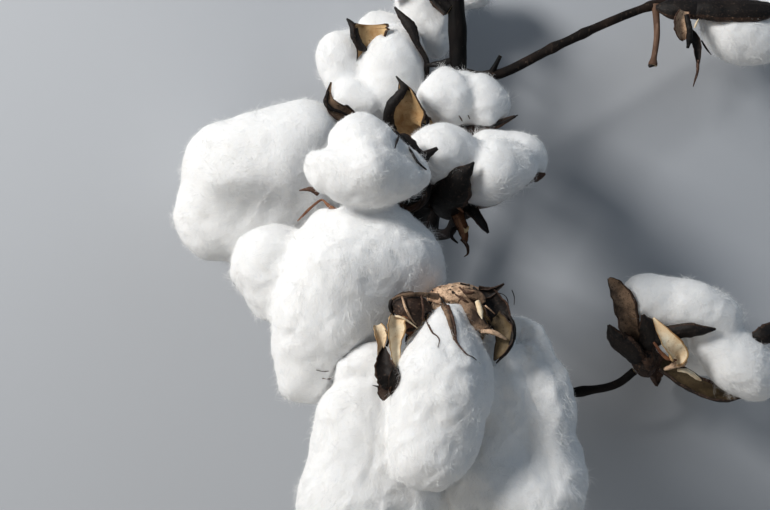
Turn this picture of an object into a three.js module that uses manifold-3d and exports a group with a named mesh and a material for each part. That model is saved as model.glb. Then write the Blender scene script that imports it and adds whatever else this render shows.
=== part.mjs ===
// A cut cotton branch that lies on its back: one woody stem, two side branches and nine open bolls.
// Millimetres, +Z up. X runs to the right and Y up the stem as the branch is looked down on,
// and Z is the height above the ground that the branch lies on.

import * as THREE from "three";
import { mergeVertices } from "three/addons/utils/BufferGeometryUtils.js";
import Module from "manifold-3d";

const wasm = await Module();
wasm.setup();

// Driving dimensions
const CLEAR = 0.3; // gap between neighbouring pieces
const BLEND = 5; // how softly the lobes of one lock of lint run together
const FINE = 3; // subdivision of the large locks
const PLAIN = 2; // subdivision of the small locks
const ROUGH = 1; // subdivision of the locks that others cover
const TIDY = 0.1; // how far a surface may move when its slivers are closed up after a cut
const REACH = 400; // half the side of the block above the ground
const HUSK_THICK = 1.3; // leathery wall of a carpel at its root
const HUSK_TIP_SHARE = 0.6; // what is left of that wall at the point
const CUPPED = 0.45; // how far a carpel's margins stand up, as a share of its half width
const LEAF_STEPS = 2; // rows of faces between two stations of a carpel
const BARK = "#33251f";
const HUSK = "#5b4334";
const LINT = "#f1f0ec";

// Limbs: points along the middle of the wood, and the radius at either end
const LIMBS = {
  main_stem: {
    path: [
      [10.5, -136, 4.4],
      [11.5, -57, 15],
      [13, -17, 23],
      [16.5, 9, 28],
      [23, 46.5, 34],
      [27, 68, 38],
      [26, 94, 42.5],
      [25, 107, 44.5],
    ],
    radius: [4.6, 3.3],
    sides: 10,
    steps: 18,
  },
  upper_twig: {
    path: [
      [27, 67.5, 38],
      [39.5, 65.5, 38],
      [65, 78.6, 36],
      [87, 89, 33],
      [113, 98.5, 29.5],
    ],
    radius: [2.4, 1.7],
    sides: 8,
    steps: 10,
  },
  twig_stub: {
    path: [
      [39, 66, 38.5],
      [42.5, 73, 40],
    ],
    radius: [1.2, 0.9],
    sides: 7,
    steps: 2,
  },
  hanging_petiole: {
    path: [
      [101.5, 94, 32],
      [101.8, 82, 33.5],
      [100.5, 70.5, 34.5],
    ],
    radius: [1.1, 0.9],
    sides: 7,
    steps: 3,
  },
  side_branch: {
    path: [
      [11.5, -57, 15.5],
      [42, -57, 19],
      [72.5, -52.5, 22],
      [88, -49, 25],
      [94.5, -44, 27],
    ],
    radius: [2.1, 1.5],
    sides: 8,
    steps: 9,
  },
  front_stalk: {
    path: [
      [12.5, -38, 19],
      [21, -32, 45],
      [26.5, -22, 75],
      [26.5, -15, 93],
    ],
    radius: [2.3, 1.9],
    sides: 8,
    steps: 8,
  },
  centre_stalk: {
    path: [
      [15.5, 5, 27],
      [3, 9, 46],
      [-4, 11, 64],
    ],
    radius: [2.2, 1.9],
    sides: 8,
    steps: 6,
  },
  left_stalk: {
    path: [
      [19, 24, 30.5],
      [2, 33, 36],
      [-14, 39.5, 38],
    ],
    radius: [2.1, 1.8],
    sides: 8,
    steps: 6,
  },
  right_stalk: {
    path: [
      [16.5, 8, 28],
      [23, 8, 45],
      [25.5, 14, 62],
    ],
    radius: [2.1, 1.8],
    sides: 8,
    steps: 6,
  },
  upper_stalk: {
    path: [
      [21.5, 37, 32.5],
      [25, 38, 41],
      [25.5, 41, 48],
    ],
    radius: [2, 1.8],
    sides: 8,
    steps: 4,
  },
  rear_stalk: {
    path: [
      [21.5, 42, 33],
      [12, 48, 24],
      [4, 54, 20],
    ],
    radius: [1.9, 1.6],
    sides: 8,
    steps: 5,
  },
  top_stalk: {
    path: [
      [24.5, 91, 42],
      [17.5, 96.5, 41.5],
      [12, 101.5, 36],
      [11, 104, 28],
    ],
    radius: [1.9, 1.6],
    sides: 8,
    steps: 5,
  },
};

// Bolls: the middle of each bur, the way the boll opens, its carpels and its locks of lint.
// A carpel is a leaf: the way its hollow looks, and [x, y, z, width] stations from the bur to its point.
// A lock is a spine of [x, y, z, radius] stations, with round lobes beside it where the lint swells out.
const BOLLS = {
  front: {
    hub: [26.5, -15.5, 99],
    facing: [0, -1, 0.12],
    size: 10.5,
    carpels: [
      {
        hollow: [0.4, -0.5, -0.7],
        spine: [
          [20, -16, 104, 10],
          [9, -15.5, 112, 12],
          [4, -24, 116, 8],
          [1.5, -36, 114.5, 6.5],
          [-0.3, -46.5, 111, 1],
        ],
      },
      {
        hollow: [-0.5, -0.4, -0.7],
        spine: [
          [30, -16, 104, 8],
          [36.5, -18, 108, 7],
          [40, -24, 109, 6],
          [36, -33.5, 110, 1],
        ],
      },
      { hollow: [0, -0.3, 1], spine: [[22, -18, 94, 9], [14, -28, 85, 14], [7, -41, 84, 1]] },
      { hollow: [0, -0.3, 1], spine: [[31, -18, 94, 9], [39, -27, 85, 14], [45, -39, 84, 1]] },
    ],
    locks: {
      middle: {
        spine: [
          [21, -22, 111.5, 7.5],
          [19, -40, 115.5, 16],
          [14.5, -60.5, 118, 14.5],
        ],
        fine: FINE,
      },
      left: {
        spine: [[-4.5, -41, 100, 12.5], [-9.5, -58, 99, 13.5], [-9, -82, 97, 20], [-8, -91, 96, 18]],
        lobes: [[4, -80, 97, 16]],
        fine: FINE,
      },
      right: {
        spine: [
          [44, -31.5, 100, 12.5],
          [47.5, -50, 98.5, 15],
          [46, -76, 97, 20.5],
          [44, -90.5, 96, 17.5],
        ],
        lobes: [[36, -76, 96, 16]],
        fine: FINE,
      },
      back: { spine: [[20.5, -51, 82, 14], [18.5, -80, 78, 20], [18, -93, 80, 17]], fine: PLAIN },
    },
  },
  centre: {
    hub: [-5, 12, 69],
    facing: [0, -0.1, 1],
    size: 7.5,
    carpels: [
      {
        hollow: [-1, 0, 0.2],
        spine: [
          [0, 14, 72, 8],
          [14.5, 21, 80, 9],
          [9.5, 33, 92, 7],
          [2, 43, 96, 1],
        ],
      },
      {
        hollow: [0, 0, -1],
        spine: [
          [-1, 16, 72, 6],
          [6, 24, 82, 5],
          [10, 33, 91, 4],
          [17.5, 35.5, 92, 1],
        ],
      },
      {
        hollow: [-0.3, 0.9, 0.1],
        spine: [
          [-10, 14, 72, 7],
          [-20, 18, 84, 6],
          [-27, 16, 85, 4],
          [-33, 11.5, 80, 1],
        ],
      },
      { hollow: [0, -0.1, 1], spine: [[-9, 8, 70, 8], [-21, -3, 72, 12], [-30, -12, 78, 1]] },
    ],
    locks: {
      main: {
        spine: [[2, -2, 88, 18.5], [-14.5, -6, 92, 18.5], [-20, -22.5, 92, 17], [-25, -34, 90, 12.5]],
        lobes: [[13, -7, 86, 9.5], [-21.5, 8.5, 84, 8.5]],
        fine: FINE,
      },
      top: {
        spine: [[-17.5, 28.5, 103, 9], [-6, 28.5, 104, 11.5], [7, 26.5, 101, 8.5]],
        lobes: [[-7.5, 36.5, 100, 10.5], [-6, 21, 89, 9], [-5, 18, 81, 7.5]],
        fine: FINE,
      },
      left: { spine: [[-38.5, -4, 82, 14.5], [-36, -12, 83, 11]], fine: FINE },
      back: { spine: [[8, 4, 75, 8.5], [13, -12, 73, 9]], fine: ROUGH },
    },
  },
  left: {
    hub: [-15, 40, 38],
    facing: [-1, -0.1, 0.25],
    size: 7,
    carpels: [
      {
        hollow: [0.3, 0.6, 0.7],
        spine: [
          [-14, 44, 40, 6],
          [-15.5, 51.5, 49, 5],
          [-20.5, 55.5, 54, 3.5],
          [-19.4, 62, 55, 1],
        ],
      },
      { hollow: [-1, 0.3, 0.5], spine: [[-18, 36, 37, 8], [-26, 26, 32, 11], [-32, 18, 32, 1]] },
      { hollow: [-0.6, 0, 1], spine: [[-18, 42, 34, 8], [-27, 45, 22, 12], [-32, 44, 18, 1]] },
    ],
    locks: {
      main: {
        spine: [[-30, 45, 46, 12], [-43, 37.5, 47, 15.5], [-54.5, 31, 45, 20]],
        lobes: [[-64, 14, 43, 14], [-48, 11, 44, 13.5], [-36, 26, 45, 12], [-24, 21, 48, 11]],
        fine: FINE,
      },
      back: { spine: [[-40, 34, 24, 12], [-56, 28, 18, 19], [-62.5, 18, 16.5, 15.5]], fine: PLAIN },
      low: { spine: [[-30, 27, 30, 9], [-42, 14, 25, 10]], fine: ROUGH },
    },
  },
  right: {
    hub: [26, 17.5, 65],
    facing: [0.15, 1, 0.25],
    size: 7,
    carpels: [
      {
        hollow: [0.2, 0.3, -1],
        spine: [
          [24, 17, 69, 8],
          [21.9, 20, 80, 12],
          [24, 25, 86.5, 12],
          [29.9, 31, 87.5, 1],
        ],
      },
      {
        hollow: [-0.4, 0.9, 0.15],
        spine: [
          [30, 17, 66, 8],
          [37, 18, 64, 8],
          [43, 21, 62, 7],
          [48.5, 24.5, 62.5, 5],
          [55, 28, 66, 1],
        ],
      },
      { hollow: [0.15, 1, 0.25], spine: [[22, 21, 66, 8], [13, 31, 63, 11], [12, 40, 66, 1]] },
      { hollow: [0.15, 1, 0.25], spine: [[29, 21, 60, 8], [36, 32, 52, 11], [37, 46, 52, 1]] },
    ],
    bracts: [
      { hollow: [0.3, 0.3, 1], spine: [[28, 15, 69, 4], [31, 12, 72, 3.5], [35.2, 7.7, 72, 1]] },
      { hollow: [0, 0.3, 1], spine: [[24.5, 16.5, 71, 5], [26, 11.5, 73, 4.5], [27.5, 5, 72, 1]] },
    ],
    locks: {
      near: {
        spine: [[14, 37.5, 78, 6.5], [19, 35.5, 78.5, 9.5], [27, 35, 76, 8]],
        lobes: [[19, 31, 79.5, 6]],
        fine: PLAIN,
      },
      low: { spine: [[32, 24.5, 73.5, 7.5], [37, 29, 74, 10.5], [45, 31.5, 71, 8.5]], fine: PLAIN },
      far: { spine: [[37, 35, 61, 9.5], [47.5, 34.5, 62, 10]], fine: PLAIN },
    },
  },
  upper: {
    hub: [25.5, 43, 51],
    facing: [0, 1, 0.3],
    size: 6.5,
    carpels: [
      {
        hollow: [0.25, 0.1, 1],
        spine: [
          [21, 43, 54, 8],
          [9, 45, 62, 13],
          [8, 50.5, 68, 12],
          [7.2, 57, 70, 5],
          [4.6, 61.3, 67.5, 1],
        ],
      },
      {
        hollow: [0, 0.9, -0.3],
        spine: [
          [29, 43.5, 53, 6],
          [35, 44.2, 56, 6.5],
          [40, 46, 57.5, 4.5],
          [46.6, 49.4, 59.5, 1],
        ],
      },
      { hollow: [0, 0.4, 1], spine: [[25, 48, 47, 8], [23, 57, 40, 11], [22, 66, 38, 1]] },
    ],
    locks: {
      left: { spine: [[17.5, 56, 60, 7], [20.5, 56, 58, 12]], fine: PLAIN },
      right: { spine: [[33, 56, 55, 9.5], [36, 53.5, 55, 9]], fine: PLAIN },
      back: { spine: [[24, 58, 44, 9.5], [31, 59, 45, 8]], fine: ROUGH },
    },
  },
  rear: {
    hub: [3, 54, 20],
    facing: [-0.1, 1, 0.1],
    size: 6.5,
    carpels: [
      {
        hollow: [0.6, -0.2, 0.8],
        spine: [
          [0, 57, 22, 6],
          [-8, 66, 29, 6],
          [-8, 75, 35, 9],
          [-6, 81, 37.5, 10],
          [-10.5, 84.5, 39.5, 4.5],
          [-15, 87.5, 38, 1],
        ],
      },
      {
        hollow: [0, 0.3, -1],
        spine: [
          [6, 57, 21, 5],
          [13, 62, 30, 4],
          [14.5, 72, 38, 3],
          [10.5, 84, 40, 4.5],
          [4.5, 92.2, 38, 1],
        ],
      },
      { hollow: [-0.1, 1, 0.1], spine: [[-1, 54, 20, 7], [-12, 55, 17, 10], [-20, 60, 22, 1]] },
      { hollow: [0, 0.2, 1], spine: [[4, 58, 16, 7], [7, 68, 7, 10], [8, 78, 6, 1]] },
    ],
    locks: {
      middle: { spine: [[2, 61, 32, 10.5], [3.5, 73, 30, 12], [6.5, 80.5, 28, 7.5]], fine: PLAIN },
      left: { spine: [[-15, 67, 28, 8.5], [-16.5, 75, 28, 10.5]], fine: PLAIN },
      top: { spine: [[-3.5, 86.5, 22, 8], [3, 85.5, 22, 7.5]], fine: PLAIN },
      low: { spine: [[-13, 58.5, 36, 7], [-6, 56.5, 36, 6.5]], fine: PLAIN },
      back: { spine: [[-5, 75, 12.5, 13.5]], fine: ROUGH },
    },
  },
  top: {
    hub: [10, 104, 26],
    facing: [0.2, -1, 0],
    size: 6.5,
    carpels: [
      { hollow: [0.2, -1, 0], spine: [[6, 103, 30, 6], [3, 99, 31, 7], [2, 96, 31, 1]] },
      { hollow: [0, -0.6, -1], spine: [[14, 102, 28, 6], [20, 97, 30, 7], [22.5, 90, 33, 1]] },
      { hollow: [0, 0.2, 1], spine: [[9, 99, 22, 7], [13, 91, 12, 9], [16, 86, 8, 1]] },
      { hollow: [0.2, -1, 0], spine: [[14, 106, 25, 6], [27, 104, 22, 9], [38, 97, 22, 1]] },
    ],
    locks: {
      left: { spine: [[12, 96.5, 22, 8.5], [17, 86.5, 22, 7], [19.5, 79.5, 23, 5.5]], fine: PLAIN },
      right: { spine: [[23, 103, 20.5, 6.5], [33, 102, 22, 8.5]], fine: PLAIN },
      back: { spine: [[20, 97, 11.5, 12.5]], fine: ROUGH },
    },
  },
  side: {
    hub: [98, -39, 28],
    facing: [1, 0.2, 0.2],
    size: 7,
    carpels: [
      {
        hollow: [0.4, -0.2, 0.9],
        spine: [
          [94, -36, 31, 8],
          [90, -26, 38, 9],
          [86.5, -17, 42, 10],
          [85, -11.5, 43, 5],
          [84.3, -9, 42, 1],
        ],
      },
      {
        hollow: [-0.1, 0.3, 0.9],
        spine: [
          [98, -34, 33, 8],
          [100, -28.5, 45, 5],
          [105, -31.5, 48, 7.5],
          [111.5, -30.5, 47.5, 6],
          [120.4, -27.2, 46, 1],
        ],
      },
      {
        hollow: [0, 0.8, 0.5],
        spine: [
          [104, -42, 27, 8],
          [116, -50, 29, 10],
          [127, -53.5, 31, 9],
          [135, -53, 33, 1],
        ],
      },
      {
        hollow: [0.6, 0.3, -0.7],
        spine: [
          [94, -40, 32, 8],
          [90, -36, 36, 10],
          [85, -31, 37, 8],
          [83, -26, 37, 1],
        ],
      },
      { hollow: [0.2, -0.3, -0.9], spine: [[97, -35, 33, 7], [97.5, -28, 40, 8], [95, -22, 42, 1]] },
      { hollow: [0.3, 0.2, 1], spine: [[100, -40, 22, 8], [105, -45, 12, 12], [108, -48, 8, 1]] },
    ],
    locks: {
      upper: { spine: [[97, -15.5, 34, 9], [115.5, -20, 35, 9.5], [125, -24, 34, 9]], fine: PLAIN },
      lower: { spine: [[122, -32, 34, 8.5], [132, -40, 33, 11], [139.5, -46, 32, 9.5]], fine: PLAIN },
      back: { spine: [[118, -31, 13, 13], [126, -34, 12.5, 13.5]], fine: ROUGH },
    },
  },
  tip: {
    hub: [119, 97, 29],
    facing: [0.75, -0.65, 0],
    size: 7,
    carpels: [
      {
        hollow: [0, -0.5, -1],
        spine: [
          [122, 95, 34, 9],
          [134, 91.5, 38, 10],
          [142, 91, 37, 7],
          [148, 92, 34, 1],
        ],
      },
      { hollow: [0, -0.5, -1], spine: [[116, 96, 33, 8], [109, 93.5, 36, 8], [103.5, 91.5, 35, 1]] },
      {
        hollow: [0.2, 0, 1],
        spine: [
          [114, 94, 34, 6],
          [109.3, 88, 38.5, 6.5],
          [109.8, 83.6, 39.5, 6],
          [108, 79, 38.5, 1],
        ],
      },
      {
        hollow: [1, 0, 0.1],
        spine: [
          [116, 92, 34, 6],
          [113.8, 85.6, 38, 5],
          [115.7, 72, 37, 3],
          [115, 62.3, 36, 1],
        ],
      },
      { hollow: [0.75, -0.65, 0], spine: [[123, 100, 25, 8], [133, 108, 17, 11], [140, 112, 14, 1]] },
    ],
    locks: {
      near: { spine: [[125, 89.5, 29, 6.5], [131, 83.5, 30, 10], [140, 81.5, 30, 10.5]], fine: PLAIN },
      far: { spine: [[150.5, 84.5, 26, 12]], fine: PLAIN },
      back: { spine: [[131, 97, 21, 7], [144.5, 97, 13, 14]], fine: ROUGH },
    },
  },
};

const vec = (p) => new THREE.Vector3(p[0], p[1], p[2]);

// A closed geometry as a solid, its shared vertices merged on position alone.
function solidFrom(geometry) {
  const bare = geometry.clone();
  bare.deleteAttribute("normal");
  bare.deleteAttribute("uv");
  const merged = mergeVertices(bare, 1e-4);
  const mesh = new wasm.Mesh({
    numProp: 3,
    vertProperties: new Float32Array(merged.attributes.position.array),
    triVerts: new Uint32Array(merged.index.array),
  });
  return new wasm.Manifold(mesh);
}

function geometryFrom(solid) {
  const mesh = solid.getMesh();
  const geometry = new THREE.BufferGeometry();
  geometry.setAttribute("position", new THREE.BufferAttribute(new Float32Array(mesh.vertProperties), 3));
  geometry.setIndex(new THREE.BufferAttribute(new Uint32Array(mesh.triVerts), 1));
  geometry.computeVertexNormals();
  return geometry;
}

// Moves every vertex of a geometry by a rule that gives its new place.
function reshape(geometry, rule) {
  const place = geometry.attributes.position;
  const point = new THREE.Vector3();
  for (let i = 0; i < place.count; i++) {
    point.fromBufferAttribute(place, i);
    const moved = rule(point);
    place.setXYZ(i, moved.x, moved.y, moved.z);
  }
  return geometry;
}

// A round tapering limb: a cylinder bent along the smooth curve through its points.
function limbSolid({ path, radius, sides, steps }, grow) {
  const curve = new THREE.CatmullRomCurve3(path.map(vec));
  const frames = curve.computeFrenetFrames(steps, false);
  const bar = new THREE.CylinderGeometry(1, 1, 1, sides, steps);
  return solidFrom(
    reshape(bar, (p) => {
      const share = p.y + 0.5;
      const step = Math.round(share * steps);
      const thick = THREE.MathUtils.lerp(radius[0], radius[1], share) + grow;
      const end = (step === 0 ? -1 : step === steps ? 1 : 0) * grow;
      return curve
        .getPointAt(share)
        .addScaledVector(frames.tangents[step], end)
        .addScaledVector(frames.normals[step], p.x * thick)
        .addScaledVector(frames.binormals[step], -p.z * thick);
    }),
  );
}

// The base of a bur: a shallow turned cup on the boll's axis.
function cupSolid({ hub, facing, size }, grow) {
  const r = size + grow;
  const deep = size * 0.75 + grow;
  const profile = [
    [0, -deep],
    [r * 0.6, -deep * 0.85],
    [r, 0],
    [r * 0.6, deep * 0.7],
    [0, deep * 0.8],
  ].map(([x, y]) => new THREE.Vector2(x, y));
  const cup = new THREE.LatheGeometry(profile, 8);
  cup.applyQuaternion(
    new THREE.Quaternion().setFromUnitVectors(new THREE.Vector3(0, 1, 0), vec(facing).normalize()),
  );
  cup.translate(...hub);
  return solidFrom(cup);
}

// A carpel or bract: a thin leaf along the smooth line through its stations, cupped on its hollow side.
function leafSolid({ hollow, spine }, grow) {
  const gaps = spine.length - 1;
  const rows = gaps * LEAF_STEPS;
  const curve = new THREE.CatmullRomCurve3(spine.map(vec), false, "catmullrom", 0.5);
  const inward = vec(hollow).normalize();
  const sheet = new THREE.BoxGeometry(1, 1, 1, 2, 1, rows);
  return solidFrom(
    reshape(sheet, (p) => {
      const share = p.z + 0.5;
      const across = 2 * p.x;
      const row = Math.round(share * rows);
      const from = Math.min(Math.floor(row / LEAF_STEPS), gaps - 1);
      const width = THREE.MathUtils.lerp(spine[from][3], spine[from + 1][3], row / LEAF_STEPS - from);
      const half = width / 2 + grow;
      const wall = HUSK_THICK * THREE.MathUtils.lerp(1, HUSK_TIP_SHARE, share) + 2 * grow;
      const tangent = curve.getTangent(share);
      const side = tangent.clone().cross(inward).normalize();
      const normal = side.clone().cross(tangent);
      const end = (row === 0 ? -1 : row === rows ? 1 : 0) * grow;
      return curve
        .getPoint(share)
        .addScaledVector(tangent, end)
        .addScaledVector(side, across * half)
        .addScaledVector(normal, CUPPED * half * (across * across - 0.35) - p.y * wall);
    }),
  );
}

function burSolid(boll, grow) {
  const leaves = [...boll.carpels, ...(boll.bracts ?? [])];
  return wasm.Manifold.union([
    cupSolid(boll, grow),
    ...leaves.map((leaf) => leafSolid(leaf, grow)),
  ]);
}

// How far a point lies outside a tapering sack between two stations.
function outsideSack(point, from, to) {
  const a = vec(from);
  const span = vec(to).sub(a);
  const share = THREE.MathUtils.clamp(point.clone().sub(a).dot(span) / span.lengthSq(), 0, 1);
  return point.distanceTo(a.addScaledVector(span, share)) - THREE.MathUtils.lerp(from[3], to[3], share);
}

function softMin(a, b) {
  const overlap = Math.max(BLEND - Math.abs(a - b), 0) / BLEND;
  return Math.min(a, b) - (overlap * overlap * BLEND) / 4;
}

function outsideLock(point, { spine, lobes = [] }) {
  const parts = lobes.map((lobe) => point.distanceTo(vec(lobe)) - lobe[3]);
  if (spine.length === 1) parts.push(point.distanceTo(vec(spine[0])) - spine[0][3]);
  for (let i = 1; i < spine.length; i++) parts.push(outsideSack(point, spine[i - 1], spine[i]));
  return parts.reduce(softMin);
}

// A lock of lint: a ball of triangles drawn in from all round until it lies on the lock's lobes.
function lockSolid(lock, grow) {
  const first = vec(lock.spine[0]);
  const last = vec(lock.spine.at(-1));
  const centre = first.clone().add(last).multiplyScalar(0.5);
  const axis = last.clone().sub(first);
  const stretch = 1 + axis.length() / 60;
  axis.normalize();
  const ball = new THREE.IcosahedronGeometry(1, lock.fine);
  return solidFrom(
    reshape(ball, (p) => {
      const ray = p.clone().addScaledVector(axis, p.dot(axis) * (stretch - 1)).normalize();
      let far = 90;
      for (let i = 0; i < 60; i++) {
        const point = centre.clone().addScaledVector(ray, far);
        far -= 0.8 * (outsideLock(point, lock) - grow);
      }
      return centre.clone().addScaledVector(ray, far);
    }),
  );
}

const block = new THREE.BoxGeometry(2 * REACH, 2 * REACH, REACH);
block.translate(0, 0, REACH / 2);
const aboveGround = solidFrom(block);

const part = new THREE.Group();
const taken = []; // every finished piece, grown by the clearance

function largestBody(solid) {
  return solid.decompose().sort((a, b) => b.volume() - a.volume())[0];
}

// Cuts a new piece clear of those before it, keeps its largest body and hangs it in the group.
function place(name, make, colour, roughness) {
  const cut = make(0).intersect(aboveGround).subtract(wasm.Manifold.union(taken));
  const mesh = new THREE.Mesh(
    geometryFrom(largestBody(largestBody(cut).simplify(TIDY))),
    new THREE.MeshStandardMaterial({ color: colour, roughness, metalness: 0 }),
  );
  mesh.name = name;
  part.add(mesh);
  taken.push(make(CLEAR));
}

const STEMS = ["main_stem", "upper_twig", "twig_stub", "hanging_petiole", "side_branch"];
for (const name of STEMS) place(name, (grow) => limbSolid(LIMBS[name], grow), BARK, 0.8);
for (const [name, boll] of Object.entries(BOLLS)) {
  place(name + "_bur", (grow) => burSolid(boll, grow), HUSK, 0.75);
}
for (const name of Object.keys(LIMBS).filter((limb) => !STEMS.includes(limb))) {
  place(name, (grow) => limbSolid(LIMBS[name], grow), BARK, 0.8);
}
for (const [name, boll] of Object.entries(BOLLS)) {
  for (const [which, lock] of Object.entries(boll.locks)) {
    place(name + "_lock_" + which, (grow) => lockSolid(lock, grow), LINT, 0.95);
  }
}

// The origin is the middle of the branch's outline on the ground.
const box = new THREE.Box3().setFromObject(part);
const middle = box.getCenter(new THREE.Vector3());
part.children.forEach((mesh) => mesh.position.set(-middle.x, -middle.y, -box.min.z));

export default part;
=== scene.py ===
import itertools
import math

import bmesh
import bpy
import numpy as np
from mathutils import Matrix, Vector
from mathutils.bvhtree import BVHTree


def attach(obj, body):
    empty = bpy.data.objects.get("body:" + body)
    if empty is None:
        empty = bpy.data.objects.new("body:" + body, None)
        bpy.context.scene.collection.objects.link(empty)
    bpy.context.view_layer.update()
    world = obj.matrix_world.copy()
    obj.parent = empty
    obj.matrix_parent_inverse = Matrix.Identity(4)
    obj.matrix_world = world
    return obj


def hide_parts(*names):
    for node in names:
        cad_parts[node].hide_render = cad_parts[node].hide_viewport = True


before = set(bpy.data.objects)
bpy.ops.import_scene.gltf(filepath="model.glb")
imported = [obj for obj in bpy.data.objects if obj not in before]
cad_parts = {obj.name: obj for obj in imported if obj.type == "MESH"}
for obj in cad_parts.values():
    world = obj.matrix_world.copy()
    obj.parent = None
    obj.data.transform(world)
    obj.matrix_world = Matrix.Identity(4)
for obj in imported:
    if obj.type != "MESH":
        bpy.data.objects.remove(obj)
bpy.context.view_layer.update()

# A cut cotton branch lying on its back. Sizes here are millimetres in the branch's own frame: X to the
# right and Y up the stem as it is looked down on, Z above the ground. Meshes are turned to metres last.
MM = 0.001
BRANCH_ZERO = np.array([-42.333, 12.109, 0.0])  # where the branch's own zero lies in the frame
FLOOR_CLEAR = 0.15  # no lint reaches lower than this

# The camera looks straight down at the branch, from where the photograph's lens would be
CAMERA_HEIGHT = 594
LENS = 70
FLOOR_SIDE = 6000

ASIDE = np.array([0.31, 0.2, 0.93])  # any direction that no stem or bur points along


def unit(v):
    """Vectors made one long."""
    return v / (np.linalg.norm(v, axis=-1, keepdims=True) + 1e-12)


# Noise

def lattice(cells, seed):
    """A repeatable number from 0 to 1 for every whole-numbered cell."""
    key = cells @ np.array([73856093, 19349663, 83492791]) + seed * 7919
    key = ((key ^ (key >> 13)) * 1274126177) & 0x7FFFFFFF
    key = ((key ^ (key >> 15)) * 668265263) & 0x7FFFFFFF
    return ((key ^ (key >> 16)) & 0xFFFF) / 0xFFFF


def lumps(points, size, seed):
    """Smooth noise from -1 to 1, with lumps about size across."""
    place = np.atleast_2d(points) / size + 500
    cell = np.floor(place).astype(np.int64)
    share = place - cell
    share = share * share * (3 - 2 * share)
    total = np.zeros(len(place))
    for corner in itertools.product((0, 1), repeat=3):
        weight = np.prod(np.where(corner, share, 1 - share), axis=1)
        total += weight * lattice(cell + corner, seed)
    return 2 * total - 1


def wander(values, seed):
    """Noise from -1 to 1 along a row of numbers, with a new lump at every whole number."""
    values = np.asarray(values, float)
    flat = np.stack([values.ravel(), np.zeros(values.size), np.zeros(values.size)], axis=1)
    return lumps(flat, 1.0, seed).reshape(values.shape)


# Meshes

def mesh_object(name, points, faces, materials, face_material=None, smooth=True):
    """A mesh piece from points in branch millimetres and rows of quads or triangles."""
    mesh = bpy.data.meshes.new(name)
    faces = np.asarray(faces)
    sides = faces.shape[1]
    mesh.vertices.add(len(points))
    mesh.vertices.foreach_set("co", ((points + BRANCH_ZERO) * MM).astype(np.float32).ravel())
    mesh.loops.add(faces.size)
    mesh.loops.foreach_set("vertex_index", faces.astype(np.int32).ravel())
    mesh.polygons.add(len(faces))
    mesh.polygons.foreach_set("loop_start", np.arange(0, faces.size, sides, dtype=np.int32))
    mesh.polygons.foreach_set("use_smooth", np.full(len(faces), smooth))
    for material in materials:
        mesh.materials.append(material)
    if face_material is not None:
        mesh.polygons.foreach_set("material_index", np.asarray(face_material, dtype=np.int32))
    mesh.update(calc_edges=True)
    obj = bpy.data.objects.new(name, mesh)
    bpy.context.scene.collection.objects.link(obj)
    return obj


def grid_faces(rows, columns, closed):
    """Quads of a sheet of points laid out in rows, its last column joined to its first when closed."""
    across = columns if closed else columns - 1
    i, j = np.meshgrid(np.arange(rows - 1), np.arange(across), indexing="ij")
    i = i.ravel()
    j = j.ravel()
    k = (j + 1) % columns
    return np.stack([i * columns + j, i * columns + k, (i + 1) * columns + k, (i + 1) * columns + j], axis=1)


def end_faces(ring):
    """Quads that close an even ring of points, seen from the side where the ring runs clockwise."""
    return np.array([(ring[0], ring[i + 2], ring[i + 1], ring[i]) for i in range(1, len(ring) - 2, 2)])


def joined(parts):
    """Several sets of points, faces and what goes with each face as one."""
    points = np.concatenate([part[0] for part in parts])
    start = np.cumsum([0] + [len(part[0]) for part in parts[:-1]])
    faces = np.concatenate([part[1] + s for part, s in zip(parts, start)])
    return points, faces, *(np.concatenate(column) for column in list(zip(*parts))[2:])


def relaxed(values, edges, count, times):
    """Values at a mesh's vertices, each drawn towards its neighbours a number of times."""
    one, two = edges[:, 0], edges[:, 1]
    degree = np.bincount(one, minlength=count) + np.bincount(two, minlength=count)
    for _ in range(times):
        drawn = [
            np.bincount(one, column[two], count) + np.bincount(two, column[one], count)
            for column in values.T
        ]
        values = 0.5 * values + 0.5 * np.stack(drawn, axis=1) / degree[:, None]
    return values


def read_mesh(mesh):
    """Points in branch millimetres, edges and triangles of a mesh."""
    points = np.empty(len(mesh.vertices) * 3, np.float32)
    mesh.vertices.foreach_get("co", points)
    edges = np.empty(len(mesh.edges) * 2, np.int32)
    mesh.edges.foreach_get("vertices", edges)
    mesh.calc_loop_triangles()
    triangles = np.empty(len(mesh.loop_triangles) * 3, np.int32)
    mesh.loop_triangles.foreach_get("vertices", triangles)
    points = points.reshape(-1, 3).astype(float) / MM - BRANCH_ZERO
    return points, edges.reshape(-1, 2), triangles.reshape(-1, 3)


def vertex_normals(points, triangles):
    """The way the surface faces at each point."""
    a, b, c = (points[triangles[:, k]] for k in range(3))
    flat = np.cross(b - a, c - a)
    normals = np.zeros_like(points)
    for k in range(3):
        for axis in range(3):
            normals[:, axis] += np.bincount(triangles[:, k], flat[:, axis], len(points))
    return unit(normals)


# Shader maths

class Wire:
    """A socket of a material, which can be reckoned with."""

    def __init__(self, paint, socket):
        self.paint = paint
        self.socket = socket

    def reckon(self, operation, *others):
        return self.paint.node("ShaderNodeMath", {"operation": operation}, *others)[0]

    def __add__(self, other):
        return self.reckon("ADD", self, other)

    def __sub__(self, other):
        return self.reckon("SUBTRACT", self, other)

    def __rsub__(self, other):
        return self.reckon("SUBTRACT", other, self)

    def __mul__(self, other):
        return self.reckon("MULTIPLY", self, other)

    def clamp(self):
        return self.reckon("MINIMUM", self.reckon("MAXIMUM", self, 0.0), 1.0)

    __radd__ = __add__
    __rmul__ = __mul__


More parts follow.
